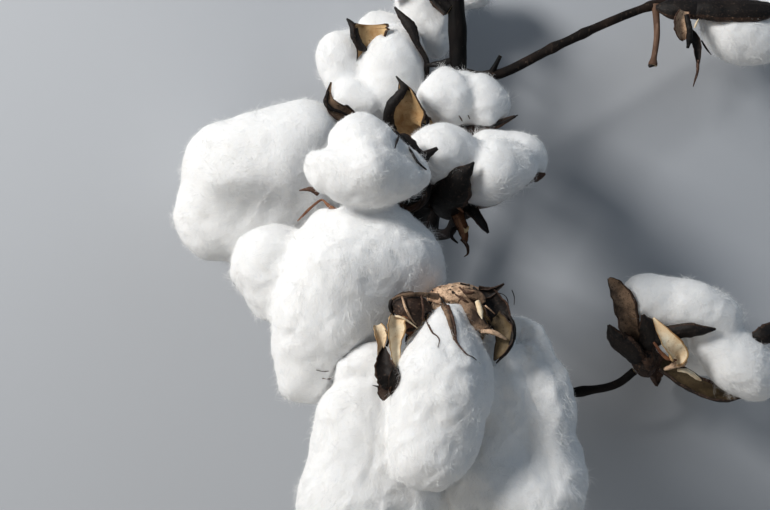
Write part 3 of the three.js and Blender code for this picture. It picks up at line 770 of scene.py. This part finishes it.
# Each bur: the middle of its cup, the way the boll opens, its half width, its depth as a share of that and
# its finish. Its leaves are carpels and bracts, each with the finish outside and inside, the way its hollow
# looks and x, y, z, width stations. Its strands are thin dry threads and edges, with the same stations, and
# those that are draped lie on the lint, with x, y, width stations.
FRONT_BUR = {
    "hub": (23.5, -14.2, 100), "facing": (0, -1, 0.12), "size": 9.6, "depth": 0.5, "cup": "cork",
    "leaves": [
        # The left carpel, then the straw leaves below it and the torn piece between them
        ("rim", "rim", (0, -1, -1), [
            (9.5, -15, 104, 11), (8.4, -13.6, 110, 13), (8, -15.2, 115, 13.2), (7.6, -18.2, 116.4, 11),
            (7.4, -21, 115.4, 8), (7.2, -23, 113, 4),
        ]),
        ("rust", "straw", (0.2, 0.1, 1), [
            (3.6, -19.9, 117.6, 4.4), (3.4, -21.4, 118.8, 5.6), (3.3, -23.9, 119.2, 5.6),
            (3.2, -27.1, 119, 4), (3.2, -30.3, 118.6, 3.3), (3.4, -33.5, 117.8, 2.4), (3.5, -37, 116.6, 1.5),
        ]),
        ("rust", "rust", (0.3, 0, 1), [
            (5, -20, 116.4, 2), (6.4, -21.8, 117.2, 4), (7.6, -24, 116.6, 3), (8.4, -25.4, 115.8, 0.6),
        ]),
        ("straw", "straw", (0.2, 0.1, 1), [
            (-2.4, -22.6, 114.6, 2.6), (-1.7, -24.3, 115.6, 3.9), (-1.3, -26.2, 116.2, 3.6),
            (-1.3, -28.1, 116, 2.7), (-1.7, -30.3, 115, 1.5), (-2.2, -32.9, 113.6, 0.6),
        ]),
        # The black pod below them
        ("black", "black", (0, 0, 1), [
            (-0.3, -29.6, 115.4, 0.8), (-0.4, -31.9, 117, 3.2), (-0.3, -34.2, 119, 4.8),
            (0, -36.2, 121, 6.4), (0.8, -38, 122.4, 7.4), (1.1, -40.2, 121.6, 6), (1.2, -42, 119.6, 3),
        ]),
        ("black", "brown", (0, 0, 1), [
            (1.1, -40.6, 119.6, 3), (0, -42.4, 119, 4.4), (-0.4, -44.4, 117, 2.7), (-0.5, -46.4, 114.6, 0.4),
        ]),
        ("brown", "black", (-0.4, 0.2, 1), [
            (3.6, -35.8, 121.6, 1.5), (3.2, -38.8, 122.6, 3.4), (2.4, -42, 120.6, 2.6), (1, -44.8, 118, 0.7),
        ]),
        # The right carpels, the skin that peels off the knob and the bract above them
        ("black", "olive", (-0.2, 0, 1), [
            (35.6, -20, 110, 5), (38, -23.4, 112.6, 6), (38.3, -26.6, 113.6, 6), (37.2, -30, 113.6, 4.2),
            (35.2, -34, 112, 0.6),
        ]),
        ("pitted", "brown", (0, 0, -1), [
            (25.5, -11.4, 111, 1.6), (28, -12.6, 112.2, 3.4), (30.6, -13.6, 112, 3.4),
            (31.8, -15.4, 111.6, 1.6),
        ]),
        ("black", "black", (0, 0.1, 1), [
            (30, -12.8, 107, 6), (33.5, -13.9, 108.2, 6), (35.9, -16.9, 108.9, 7), (36.9, -20.4, 109.4, 7),
            (36.2, -24, 109.8, 4),
        ]),
        ("pitted", "brown", (0, 0.3, -1), [
            (25.4, -14.5, 110, 4.6), (27, -17.4, 112.6, 4.8), (29, -20.8, 114.8, 4.8),
            (31.3, -23.3, 115.4, 4), (33.6, -24.6, 115, 2.4),
        ]),
        ("black", "black", (0, -0.4, 1), [
            (31, -11.8, 106.5, 1.6), (33.4, -12, 108, 3.2), (35.2, -11.3, 109, 2.2),
            (36.8, -10.3, 109.8, 1.2), (38.5, -9.3, 110.4, 0.4),
        ]),
        # The carpels behind the locks
        ("brown", "tan", (0, -0.3, 1), [(22, -18, 94, 9), (14, -28, 85, 14), (7, -41, 84, 1)]),
        ("brown", "tan", (0, -0.3, 1), [(31, -18, 94, 9), (39, -27, 85, 14), (45, -39, 84, 1)]),
    ],
    "strands": [
        ("pitted", [
            (17, -13.4, 110, 2.4), (11.5, -12.6, 114.4, 1.5), (5.5, -12.8, 116.2, 1.1),
            (2.4, -14.2, 114.6, 0.8),
        ]),
        ("brown", [(24, -10.4, 110.8, 0.6), (26, -12, 112.6, 1), (28.6, -12, 112.8, 0.7)]),
        ("brown", [(22.6, -12.6, 112, 0.5), (25, -14.2, 112.8, 0.9), (26.8, -15.4, 112.6, 0.5)]),
        ("cork", [
            (5.4, -13.2, 116.8, 0.6), (6.6, -17, 118.4, 0.9), (8.6, -20.8, 117, 0.6),
            (10.4, -22.6, 115.6, 0.4),
        ]),
        ("brown", [(11.6, -13, 115.6, 0.7), (12.2, -17, 117.6, 0.9), (12, -21, 116.4, 0.6)]),
        ("black", [(2.2, -14.4, 115, 0.9), (1.6, -16.6, 114.6, 1.2), (2.8, -19.6, 113.6, 0.7)]),
        ("straw", [
            (1.2, -20.2, 116, 0.5), (4, -19.5, 118.8, 0.7), (7, -20.8, 119, 0.6), (10.3, -23.3, 117.2, 0.3),
        ]),
        ("black", [
            (-0.2, -23.5, 115.4, 0.4), (1, -25.5, 116.6, 0.8), (1.1, -27.4, 116.6, 0.9),
            (0.5, -29.1, 116, 0.8),
        ]),
        ("cork", [(20.5, -17.8, 108.5, 3.4), (17.8, -17.6, 109.6, 2.8), (15.2, -16.2, 110.4, 2.6)]),
        ("straw", [(29.6, -15, 114.8, 1.7), (30.3, -17.6, 117, 1.9), (30.9, -20.4, 117.8, 0.4)]),
        ("cork", [
            (30.6, -24.4, 116.4, 1.2), (34, -24.5, 116.8, 1.6), (36.5, -25.6, 116.4, 1.4),
            (38.8, -27, 115.6, 0.6),
        ]),
        ("black", [(28.6, -10.5, 109, 0.9), (29.7, -11.4, 109.6, 1)]),
        ("black", [(17.8, -13.4, 110.6, 0.5), (19.1, -15.6, 111.4, 0.9), (19.2, -17, 111.4, 0.5)]),
        ("cork", [(32.3, -16.3, 111.5, 0.5), (33.8, -17.6, 112.6, 0.5), (35.4, -19, 112.6, 0.3)]),
        ("black", [
            (39.6, -18.5, 110, 0.8), (41, -22, 113, 1.5), (41.2, -26, 114.4, 1.8), (39.4, -30.4, 114.2, 1.6),
            (35.8, -34.8, 112.4, 0.5),
        ]),
        ("black", [(0.9, -42.6, 119.4, 1.2), (-1.6, -42, 118, 0.8), (-3.9, -41.6, 116, 0.3)]),
        ("black", [
            (34.8, -12, 108.4, 0.35), (38.5, -12.9, 109, 0.3), (39.9, -15.3, 108.4, 0.3),
            (39.3, -18.5, 107.6, 0.25),
        ]),
        ("black", [(41.1, -11.3, 109, 0.3), (41.9, -13.6, 108.6, 0.3), (41.9, -16.2, 108, 0.2)]),
        ("black", [(24.6, -9.3, 103.6, 0.5), (27.8, -10, 104, 0.6)]),
    ],
    "draped": [
        ("brown", [
            (20, -16.4, 1.4), (21.4, -20.4, 1.3), (22.1, -24.2, 1), (22.2, -26.6, 0.8), (23.2, -28.4, 0.6),
            (25.5, -31, 0.5), (27.5, -32, 0.4), (30, -34.3, 0.3),
        ]),
        ("pitted", [(18.9, -16.4, 2), (20.3, -20.4, 1.7), (21.2, -24, 1.1), (21.6, -26.6, 0.5)]),
        ("brown", [
            (12.3, -15.4, 1), (12.6, -18.6, 0.8), (13.3, -21, 0.7), (14.1, -22.9, 0.6), (15, -24.5, 0.55),
            (16.4, -25.5, 0.5), (17, -26.8, 0.4), (16.5, -28.7, 0.3),
        ]),
        ("black", [(14.9, -15.2, 1.8), (13.9, -17.6, 1.3), (13.4, -20.6, 0.5)]),
    ],
}
CENTRE_BUR = {
    "hub": (-5, 12, 69), "facing": (0, -0.1, 1), "size": 7.5, "depth": 0.75, "cup": "brown",
    "leaves": [
        ("black", "brown", (-1, 0, 0.2), [
            (0, 14, 72, 8), (14.5, 21, 80, 9), (9.5, 33, 92, 7), (2, 43, 96, 1),
        ]),
        ("black", "brown", (0, 0, -1), [
            (-1, 16, 72, 6), (5, 30, 84, 4), (5.6, 39, 91.5, 3), (8.1, 37, 94, 4.4), (10, 33.8, 94.6, 5),
            (12.2, 32.2, 94.6, 5), (14.3, 33.7, 94.2, 3), (17.5, 35.7, 93.6, 1.2),
        ]),
        ("brown", "tan", (-0.3, 0.9, 0.1), [(-10, 14, 70, 7), (-17, 14, 74, 4), (-22, 12, 74, 1)]),
        ("brown", "tan", (0, -0.1, 1), [(-9, 8, 70, 8), (-21, -3, 72, 12), (-30, -12, 78, 1)]),
        ("black", "brown", (0, 0, -1), [
            (3.6, 17.6, 87, 1), (7.6, 20.2, 89.6, 3), (11.2, 21.4, 90, 2.6), (14.2, 22.4, 89, 0.6),
        ]),
        # A carpel put in the deep shade beside the stalk, its outside painted near black for that shade.
        ("black", "brown", (0, 0.2, -1), [
            (8.8, 9, 66, 8), (10.8, 14.9, 73, 11), (12.1, 18.3, 76, 9), (16.3, 21.5, 76, 3),
            (19.1, 24, 74, 0.6),
        ]),
    ],
    "strands": [
        ("tan", [(0.4, 17.5, 84.5, 1), (3.4, 18.4, 86, 1.2), (6.8, 18.9, 86.5, 0.6)]),
        ("brown", [
            (-22.6, 20.4, 86.4, 1.4), (-24.6, 22.1, 86.4, 1.9), (-27, 22.3, 85, 1.1), (-29.2, 22, 83.4, 0.4),
        ]),
        ("rust", [
            (-16.4, 15.4, 88.4, 0.9), (-18, 15.8, 88.6, 1.6), (-19.8, 17.4, 88, 0.9),
            (-21.6, 18.6, 87.4, 0.8), (-25.2, 16, 86.4, 0.9), (-27.5, 13.8, 85.4, 0.8),
            (-29.8, 11.6, 84, 0.4),
        ]),
    ],
    "draped": [
        ("black", [(1.8, 43.2, 0.6), (4.4, 39.7, 1), (8.3, 34.4, 0.9), (10.6, 30.6, 0.8), (13.6, 28, 0.5)]),
        ("black", [(4.6, 40, 1.1), (4.1, 37.8, 0.9), (3.2, 34.6, 0.4)]),
        ("brown", [(-20.6, -40.6, 0.3), (-17.9, -40.9, 0.35), (-15.6, -39, 0.3), (-14.3, -37.2, 0.2)]),
        ("brown", [(-22.6, -37.7, 0.2), (-19.6, -38.2, 0.3), (-16.4, -37.7, 0.2)]),
    ],
}
LEFT_BUR = {
    "hub": (-15, 40, 38), "facing": (-1, -0.1, 0.25), "size": 7, "depth": 0.75, "cup": "brown",
    "leaves": [
        ("black", "pitted", (0.2, 0.2, 1), [
            (-11, 44, 42, 6), (-14, 49.5, 51, 7), (-17.5, 51.8, 54, 6), (-20, 55, 55, 3.6),
            (-20.3, 58.5, 55, 1.8), (-19.4, 62.2, 55, 0.6),
        ]),
        ("black", "tan", (-1, 0.3, 0.5), [(-18, 36, 37, 8), (-26, 26, 32, 11), (-32, 18, 32, 1)]),
        ("brown", "tan", (-0.6, 0, 1), [(-18, 42, 34, 8), (-27, 45, 22, 12), (-32, 44, 18, 1)]),
    ],
    "strands": [
        ("black", [
            (-20.4, 59, 55.4, 0.8), (-21.3, 55, 55.6, 1.9), (-19.6, 52.6, 55.6, 1.5),
            (-16.2, 51.6, 54.6, 1.1), (-11.8, 49.8, 52.6, 0.7),
        ]),
    ],
}
RIGHT_BUR = {
    "hub": (26, 17.5, 65), "facing": (0.15, 1, 0.25), "size": 7, "depth": 0.75, "cup": "black",
    "leaves": [
        ("black", "tan", (0.2, 0.3, -1), [
            (21, 13.6, 70, 10), (20.6, 17.6, 78, 14), (22.6, 21.6, 84, 13.4), (25, 25.6, 87, 9.4),
            (27.8, 28.6, 88, 4.4), (30.1, 31.4, 87.5, 0.6),
        ]),
        ("brown", "tan", (-0.4, 0.9, 0.15), [
            (30, 17, 66, 8), (37, 18, 64, 8), (43, 21, 62, 7), (48.5, 24.5, 62.5, 5), (55, 28, 66, 1),
        ]),
        ("brown", "tan", (0.15, 1, 0.25), [(22, 21, 66, 8), (13, 31, 63, 11), (12, 40, 66, 1)]),
        ("brown", "tan", (0.15, 1, 0.25), [(29, 21, 60, 8), (36, 32, 52, 11), (37, 46, 52, 1)]),
        ("black", "black", (0.3, 0.3, 1), [
            (27.4, 18.4, 69, 5), (29.6, 15.8, 71, 4.6), (32, 13, 72, 3.6), (34, 10.4, 72.4, 2.8),
            (36, 7.6, 72, 0.6),
        ]),
        ("brown", "rust", (0, 0.3, 1), [
            (24.5, 16.5, 71, 5), (26, 11.5, 73, 4.5), (27.5, 7, 73, 3), (28.2, 4.4, 72, 0.8),
        ]),
    ],
    "strands": [
        ("brown", [(48.4, 26.2, 66, 1), (50.6, 27, 67, 2.6), (53.2, 27.4, 67.4, 3.4), (56.4, 28.6, 67, 1)]),
        ("black", [
            (25, 17.6, 71, 0.9), (33, 17.9, 70, 0.8), (37, 18.9, 69, 0.8), (40.6, 21.2, 68, 0.9),
            (44.4, 23.6, 67, 0.4),
        ]),
        ("rust", [(23.4, 18.4, 78, 0.8), (25.2, 16.4, 78, 1.2), (27, 14.8, 77, 0.6)]),
        ("tan", [(26, 10.4, 75, 0.8), (27.4, 8.4, 75.4, 1.7), (28.4, 8.8, 75, 1.1), (29, 10, 74.4, 0.5)]),
        ("rust", [
            (24.6, 14, 75.6, 0.9), (26, 10.6, 76, 1.4), (26.8, 7.6, 75.6, 1.5), (27.2, 5.2, 74.8, 0.6),
        ]),
        ("black", [
            (26.2, 9.4, 73.6, 0.8), (23.8, 8.9, 73, 1.7), (23.2, 6.3, 72.6, 1.4), (25.4, 4.1, 72.4, 0.5),
        ]),
        ("brown", [
            (26.5, 5.6, 72.6, 1.2), (28.6, 3.2, 72.4, 1.4), (28.9, 0.6, 72, 0.8), (27.6, -0.6, 71.6, 0.3),
        ]),
    ],
}
UPPER_BUR = {
    "hub": (25.5, 43, 51), "facing": (0, 1, 0.3), "size": 6.5, "depth": 0.75, "cup": "brown",
    "leaves": [
        ("black", "tan", (-0.2, 0.1, 1), [
            (21, 43, 54, 8), (9.5, 44.5, 63, 13), (8.6, 50.5, 69, 12), (7.4, 56, 71, 6),
            (5.6, 60.4, 69.5, 1.4),
        ]),
        ("brown", "tan", (0, 0.9, -0.3), [
            (29, 43.5, 53, 6), (35, 44.2, 56, 6.5), (40, 46, 57.5, 4.5), (46.6, 49.4, 59.5, 0.8),
        ]),
        ("brown", "tan", (0, 0.4, 1), [(25, 48, 47, 8), (23, 57, 40, 11), (22, 66, 38, 1)]),
    ],
    "strands": [
        ("black", [
            (4.4, 43.5, 62, 2.6), (1.6, 46.4, 66, 3.8), (1.4, 50.4, 70, 3.9), (3.4, 54, 72, 3.6),
            (6.4, 57.4, 72.4, 3), (6, 59.6, 71, 1.8), (3.9, 62.6, 69.4, 0.5),
        ]),
        ("black", [
            (7, 58.8, 71.6, 1), (9.9, 56.6, 71, 1), (12.4, 51.4, 68.4, 0.9), (15.1, 45.6, 62.4, 0.7),
        ]),
        ("black", [(37, 45.6, 58.6, 0.9), (42, 47.4, 59.6, 1), (47.4, 49.9, 60, 0.5)]),
    ],
    "draped": [
        ("brown", [(26.2, 49.2, 0.3), (27.2, 48, 0.5), (28.4, 47.2, 0.3)]),
        ("brown", [(29.6, 49.6, 0.3), (30.2, 48.6, 0.35)]),
    ],
}
REAR_BUR = {
    "hub": (3, 54, 20), "facing": (-0.1, 1, 0.1), "size": 6.5, "depth": 0.75, "cup": "brown",
    "leaves": [
        ("black", "tan", (0.1, -0.2, 1), [
            (0, 57, 22, 6), (-7, 66, 29, 6), (-6.5, 75, 34.5, 8), (-5.4, 80, 36.8, 11),
            (-5.6, 83.4, 38, 13.4), (-5.6, 85, 38.2, 13), (-5.6, 85.6, 38.2, 11),
        ]),
        ("black", "brown", (0, 0.3, -1), [
            (6, 57, 21, 5), (13.5, 62, 30, 3), (15.6, 71, 37.5, 2), (12, 78, 39.6, 2.4),
            (10.4, 82.5, 40.4, 3.8), (8.6, 85.4, 40.4, 4.2), (5.9, 88.6, 39.4, 2.6), (3.6, 92, 38, 0.8),
        ]),
        ("brown", "tan", (-0.1, 1, 0.1), [(-1, 54, 20, 7), (-12, 55, 17, 10), (-20, 60, 22, 1)]),
        ("brown", "tan", (0, 0.2, 1), [(4, 58, 16, 7), (7, 68, 7, 10), (8, 78, 6, 1)]),
    ],
    "strands": [
        ("black", [
            (-14.2, 87.8, 37.6, 0.7), (-12, 85, 38.8, 2.8), (-11, 81, 38.6, 3.4), (-9.2, 77.6, 37.2, 3.2),
            (-6, 75.8, 35.6, 1.2),
        ]),
        # A near-black strand laid in the shaded gap between the rear lint and the stem: painted shade.
        ("black", [(15.5, 70.6, 38, 1.6), (20, 70.8, 38.4, 2.6), (24.5, 72, 38.6, 3)]),
    ],
}
TOP_BUR = {
    "hub": (10, 104, 26), "facing": (0.2, -1, 0), "size": 6.5, "depth": 0.75, "cup": "brown",
    "leaves": [
        ("black", "tan", (0.2, -1, 0), [(6, 103, 30, 6), (3, 99, 31, 7), (2, 96, 31, 1)]),
        ("black", "tan", (0, -0.6, -1), [(14, 102, 28, 6), (20, 97, 30, 7), (22.5, 90, 33, 1)]),
        ("brown", "tan", (0, 0.2, 1), [(9, 99, 22, 7), (13, 91, 12, 9), (16, 86, 8, 1)]),
        ("brown", "tan", (0.2, -1, 0), [(14, 106, 25, 6), (27, 104, 22, 9), (38, 97, 22, 1)]),
    ],
}
SIDE_BUR = {
    # The side bur's cup takes the dark rim tone: painted shade for the shade it lies in.
    "hub": (98, -39, 28), "facing": (1, 0.2, 0.2), "size": 7, "depth": 0.75, "cup": "rim",
    "leaves": [
        ("black", "pitted", (0.4, -0.2, 0.9), [
            (94, -36, 31, 8), (90, -26, 38, 8), (87, -17, 42, 8.6), (84.6, -11.5, 43, 5.4),
            (82.4, -8.6, 42, 1),
        ]),
        ("tan", "straw", (-0.1, 0.2, 1), [
            (107, -38.4, 42, 4), (107.6, -36.4, 46, 6.4), (105, -33.2, 48, 6.6), (101.8, -29, 48, 4.8),
            (98.2, -23, 46, 0.8),
        ]),
        ("black", "brown", (-0.1, 0.3, -0.9), [
            (98, -34, 33, 8), (104, -29.5, 42, 6), (111.6, -28, 45.4, 5.4), (116, -27.8, 46, 4),
            (121.2, -27.1, 45.4, 0.6),
        ]),
        ("black", "olive", (0, 0.8, 0.5), [
            (104, -42, 27, 8), (116, -50, 29, 10), (127, -53.5, 31, 9), (135, -53, 33, 1),
        ]),
        ("black", "brown", (0.6, 0.3, -0.7), [
            (94, -40, 32, 8), (90, -36, 36, 10), (85, -31, 37, 8), (83, -26, 37, 1),
        ]),
        ("black", "brown", (0.2, -0.3, -0.9), [(97, -35, 33, 7), (97.5, -28, 40, 8), (95, -22, 42, 1)]),
        ("brown", "brown", (0.3, 0.2, 1), [(100, -40, 22, 8), (105, -45, 12, 12), (108, -48, 8, 1)]),
        ("black", "brown", (0.3, 0.1, -1), [
            (145.4, -28, 37, 7), (140.2, -29.8, 39, 7), (136.3, -30.1, 38.6, 3),
        ]),
    ],
    "strands": [
        ("cork", [
            (104, -42.5, 37, 1.2), (107.4, -40.6, 41, 2.4), (109.6, -40, 42, 2.6), (111.4, -39, 42, 1),
        ]),
        ("straw", [
            (108.4, -42.6, 39, 1.2), (112, -43, 40, 1.8), (115.4, -45.4, 39, 1.6), (117.4, -46.6, 38, 0.6),
        ]),
        ("rust", [
            (98.6, -32, 44.6, 0.8), (100.6, -35, 45, 1.4), (103.4, -37.8, 45, 1.6), (107, -38.6, 44.6, 0.8),
        ]),
    ],
}
TIP_BUR = {
    "hub": (119, 97, 29), "facing": (0.75, -0.65, 0), "size": 7, "depth": 0.75, "cup": "brown",
    "leaves": [
        ("black", "tan", (0, -0.5, -1), [
            (114, 93, 38, 9), (122, 92, 40.5, 10), (134, 91.6, 41, 10), (142, 91.8, 39, 7),
            (148, 92.6, 36, 1),
        ]),
        ("black", "tan", (0, -0.5, -1), [
            (120, 93.6, 37, 9), (113, 92.6, 39, 9.4), (106, 92.4, 38, 8.6), (101, 92.4, 36, 2),
        ]),
        ("brown", "cork", (0.2, 0, 1), [
            (110, 90, 41, 4), (109, 86, 41.6, 5.8), (109.3, 82.4, 41.4, 5.4), (110.6, 79.4, 40.4, 2),
        ]),
        ("black", "black", (0, 0, 1), [
            (112.6, 84, 39.4, 1), (114.6, 80, 39.6, 3.2), (115.7, 76.6, 39, 2.8), (116, 73.8, 38.4, 2.2),
            (116.2, 70.6, 38, 1),
        ]),
        ("brown", "tan", (0.75, -0.65, 0), [(123, 100, 25, 8), (133, 108, 17, 11), (140, 112, 14, 1)]),
    ],
    "strands": [
        ("black", [(111, 88.6, 42, 1.8), (112, 84, 42.4, 2.2), (112.3, 80, 41.4, 2.4), (112, 76.6, 40, 1)]),
        ("brown", [
            (116.2, 72.4, 38.2, 1.5), (116, 68, 38, 1.1), (115.2, 65, 37.6, 0.8), (114.6, 62.6, 37, 0.3),
        ]),
        ("black", [(117.4, 79.6, 38.4, 0.6), (119.4, 76.6, 38, 0.7), (121.3, 74.4, 37.4, 0.3)]),
        ("straw", [(114, 83.6, 42.6, 0.6), (114.6, 85.2, 42.8, 0.9), (115.6, 87, 42.2, 0.3)]),
        ("black", [(101, 72.2, 34.8, 1.6), (99.6, 71, 35, 2), (98.4, 70.6, 34.6, 1)]),
    ],
}
BURS = {
    "front": FRONT_BUR, "centre": CENTRE_BUR, "left": LEFT_BUR,
    "right": RIGHT_BUR, "upper": UPPER_BUR, "rear": REAR_BUR,
    "top": TOP_BUR, "side": SIDE_BUR, "tip": TIP_BUR,
}


def along(stations, rows):
    """Points, directions and widths along the smooth line through x, y, z, width stations."""
    given = np.array(stations, float)
    ends = np.concatenate([[2 * given[0] - given[1]], given, [2 * given[-1] - given[-2]]])
    place = np.linspace(0, len(given) - 1, rows)
    span = np.minimum(place.astype(int), len(given) - 2)
    t = (place - span)[:, None]
    p0, p1, p2, p3 = (ends[span + k] for k in range(4))
    first = p2 - p0
    second = 2 * p0 - 5 * p1 + 4 * p2 - p3
    third = 3 * p1 - p0 - 3 * p2 + p3
    line = p1 + 0.5 * (first * t + second * t ** 2 + third * t ** 3)
    slope = first + 2 * second * t + 3 * third * t ** 2
    return line[:, :3], unit(slope[:, :3]), np.maximum(line[:, 3], 0.1)


def leaf(outside, inside, hollow, stations, seed, columns=15):
    """A carpel or bract as two skins and a rim: cupped, ribbed along its back and ragged at its margins."""
    rows = 9 * (len(stations) - 1) + 6
    line, tangent, width = along(stations, rows)
    side = unit(np.cross(tangent, np.array(hollow, float)))
    normal = np.cross(side, tangent)
    t = np.linspace(0, 1, rows)[:, None]
    across = np.linspace(-1, 1, columns)[None, :]
    half = width[:, None] / 2
    left, right = (1 + RAGGED * wander(t * rows / 3, seed + k) for k in (0, 1))
    spread = half * np.where(across < 0, left, right) * across
    lift = half * (CUPPED * (across ** 2 - 0.35) + 0.15 * across ** 4)
    flat = line[:, None] + side[:, None] * spread[..., None] + normal[:, None] * lift[..., None]
    skin = flat.reshape(-1, 3)
    warp = (0.45 * lumps(skin, 6, seed + 3) + 0.2 * lumps(skin, 2.2, seed + 4)).reshape(rows, columns)
    warp *= np.minimum(half / 3, 1)
    rough = 0.1 * lumps(skin, 0.9, seed + 5).reshape(rows, columns)
    wall = (WALL + (WALL_TIP - WALL) * t) * (0.5 + 0.2 * across ** 8)
    ridges = 0.5 + 0.5 * np.cos(across * 3.5 * math.pi)
    ribs = 0.2 * np.minimum(half / 4, 1) * ridges * np.sin(math.pi * t) ** 0.5
    outer = flat + normal[:, None] * (warp - wall - ribs - rough)[..., None]
    inner = flat + normal[:, None] * (warp + wall + 0.4 * rough)[..., None]
    sheet = grid_faces(rows, columns, closed=False)
    total = rows * columns
    edge = np.concatenate(
        [
            np.arange(columns),
            np.arange(1, rows) * columns + columns - 1,
            (rows - 1) * columns + np.arange(columns - 2, -1, -1),
            np.arange(rows - 2, 0, -1) * columns,
        ]
    )
    after = np.roll(edge, -1)
    rim = np.stack([edge, after, after + total, edge + total], axis=1)
    points = np.concatenate([outer.reshape(-1, 3), inner.reshape(-1, 3)])
    faces = np.concatenate([sheet[:, ::-1], sheet + total, rim])
    column = np.arange(len(sheet)) % (columns - 1)
    margin = (column == 0) | (column == columns - 2)
    edging = HUSK_KIND[RIM_OF.get(inside, "rim")]
    kinds = [np.where(margin, edging, HUSK_KIND[finish]) for finish in (outside, inside)]
    return points, faces, np.concatenate([*kinds, np.full(len(rim), edging)])


def strand(finish, stations, seed, sides=8):
    """A thin dry thread along the smooth line through its stations, closed at both ends."""
    rows = 7 * (len(stations) - 1) + 4
    line, _, width = along(stations, rows)
    out, _ = ring_points(line, sides)
    ring = line[:, None] + out * (width / 2)[:, None, None]
    points = ring.reshape(-1, 3)
    swell = 1 + 0.16 * lumps(points, 1.3, seed) + 0.1 * lumps(points, 0.6, seed + 1)
    points = (line[:, None] + (ring - line[:, None]) * swell.reshape(rows, sides, 1)).reshape(-1, 3)
    last = np.arange(sides) + (rows - 1) * sides
    faces = [grid_faces(rows, sides, closed=True), end_faces(np.arange(sides)), end_faces(last[::-1])]
    faces = np.concatenate(faces)
    return points, faces, np.full(len(faces), HUSK_KIND[finish])


def draped(boll, stations):
    """Stations of a strand that lies on the lint, or level with its edge past that, from x, y and width."""
    middle = float(boll.points[:, 2].mean())
    laid = []
    for x, y, width in stations:
        spot = boll.tree.ray_cast(Vector((x, y, CAMERA_HEIGHT)), Vector((0, 0, -1)))[0]
        spot = spot or boll.tree.find_nearest(Vector((x, y, middle)))[0]
        laid.append((x, y, spot.z + STRAND_REST, width))
    return laid


def cup(hub, facing, size, depth, finish, seed):
    """The base of a bur: a turned knob on the boll's axis, wrinkled and pitted like dry cork."""
    rows, columns = 64, 96
    turn = np.linspace(0, math.pi, rows)[:, None]
    angle = np.linspace(0, 2 * math.pi, columns, endpoint=False)[None, :]
    axis = unit(np.array(facing, float))
    one = unit(np.cross(axis, ASIDE))
    two = np.cross(axis, one)
    ways = np.sin(turn)[..., None] * (np.cos(angle)[..., None] * one + np.sin(angle)[..., None] * two)
    skin = ((ways - np.cos(turn)[..., None] * axis * depth) * size).reshape(-1, 3)
    bumps = 0.08 * lumps(skin, 4, seed) + 0.06 * lumps(skin, 1.8, seed + 1)
    bumps += 0.03 * lumps(skin, 0.8, seed + 2)
    pits = np.clip(lumps(skin, 1.1, seed + 3) * 3 - 1.4, 0, 1)
    points = np.array(hub, float) + skin * (1 + bumps - 0.07 * pits)[:, None]
    faces = grid_faces(rows, columns, closed=True)
    return points, faces, np.where(pits[faces[:, 0]] > 0.5, HUSK_KIND["black"], HUSK_KIND[finish])


def bur(boll, seed):
    """A dry bur: its corky cup, its carpels and bracts, and its strands, some draped over the lint."""
    spec = BURS[boll.name]
    parts = [cup(spec["hub"], spec["facing"], spec["size"], spec["depth"], spec["cup"], seed)]
    for k, shape in enumerate(spec["leaves"]):
        parts.append(leaf(*shape, seed=seed + 3 * k))
    strands = list(spec.get("strands", []))
    strands += [(finish, draped(boll, stations)) for finish, stations in spec.get("draped", [])]
    for k, (finish, stations) in enumerate(strands):
        parts.append(strand(finish, stations, seed + 2 * k))
    points, faces, kinds = joined(parts)
    points[:, 2] = np.maximum(points[:, 2], FLOOR_CLEAR)
    piece = mesh_object(boll.name + "_husk", points, faces, HUSKS, kinds)
    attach(piece, "root")
    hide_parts(boll.name + "_bur")


# Camera, light and floor

def in_frame(x, y, z):
    """A place in branch millimetres as one in the frame's metres."""
    return Vector(((x + BRANCH_ZERO[0]) * MM, (y + BRANCH_ZERO[1]) * MM, z * MM))


def add_camera():
    """The camera above the middle of the view, looking straight down."""
    data = bpy.data.cameras.new("camera")
    data.lens = LENS
    data.sensor_width = 36
    data.clip_start = 0.02
    camera = bpy.data.objects.new("camera", data)
    camera.location = in_frame(0, 0, CAMERA_HEIGHT)
    bpy.context.scene.collection.objects.link(camera)
    bpy.context.scene.camera = camera


def add_lamp(name, place, watts, side, colour):
    """A square soft light that looks at the middle of the branch."""
    data = bpy.data.lights.new(name, "AREA")
    data.energy = watts
    data.size = side * MM
    data.color = colour
    lamp = bpy.data.objects.new(name, data)
    lamp.location = in_frame(*place)
    lamp.rotation_euler = (in_frame(0, 0, 60) - lamp.location).to_track_quat("-Z", "Y").to_euler()
    bpy.context.scene.collection.objects.link(lamp)


def add_floor():
    """A wide plain grey floor."""
    paint = Paint("floor")
    tone = paint.grain(paint.place(), 3.0)
    colour = paint.mix(tone, rgba(0.44, 0.46, 0.49), rgba(0.48, 0.5, 0.53))
    half = FLOOR_SIDE / 2
    corners = np.array([(-half, -half, 0), (half, -half, 0), (half, half, 0), (-half, half, 0)], float)
    floor = mesh_object("floor", corners, [[0, 1, 2, 3]], [paint.surface(Base_Color=colour, Roughness=0.8)])


def add_world():
    """Faint cool light from all round."""
    world = bpy.data.worlds.new("studio")
    world.use_nodes = True
    sky = world.node_tree.nodes["Background"]
    sky.inputs["Color"].default_value = rgba(0.78, 0.87, 1.0)
    sky.inputs["Strength"].default_value = 0.13
    bpy.context.scene.world = world
    bpy.context.scene.view_settings.view_transform = "Standard"


add_camera()
add_lamp("sun", (-625, 450, 615), 9.2, 270, (1.0, 0.98, 0.95))
add_lamp("sky", (600, 400, 500), 0.7, 700, (0.6, 0.8, 1.0))
add_lamp("ground", (-150, -650, 420), 1.1, 700, (1.0, 0.93, 0.8))
add_floor()
add_world()

for number, (name, (path, radius, joints, flare, bark)) in enumerate(LIMBS.items()):
    limb(name, path, radius, joints, flare, bark, seed=300 + 10 * number)
bolls = [Boll(name, seed=40 * number) for number, name in enumerate(BURS)]
for number, boll in enumerate(bolls):
    bur(boll, seed=900 + 60 * number)
    dress_boll(boll, bolls)
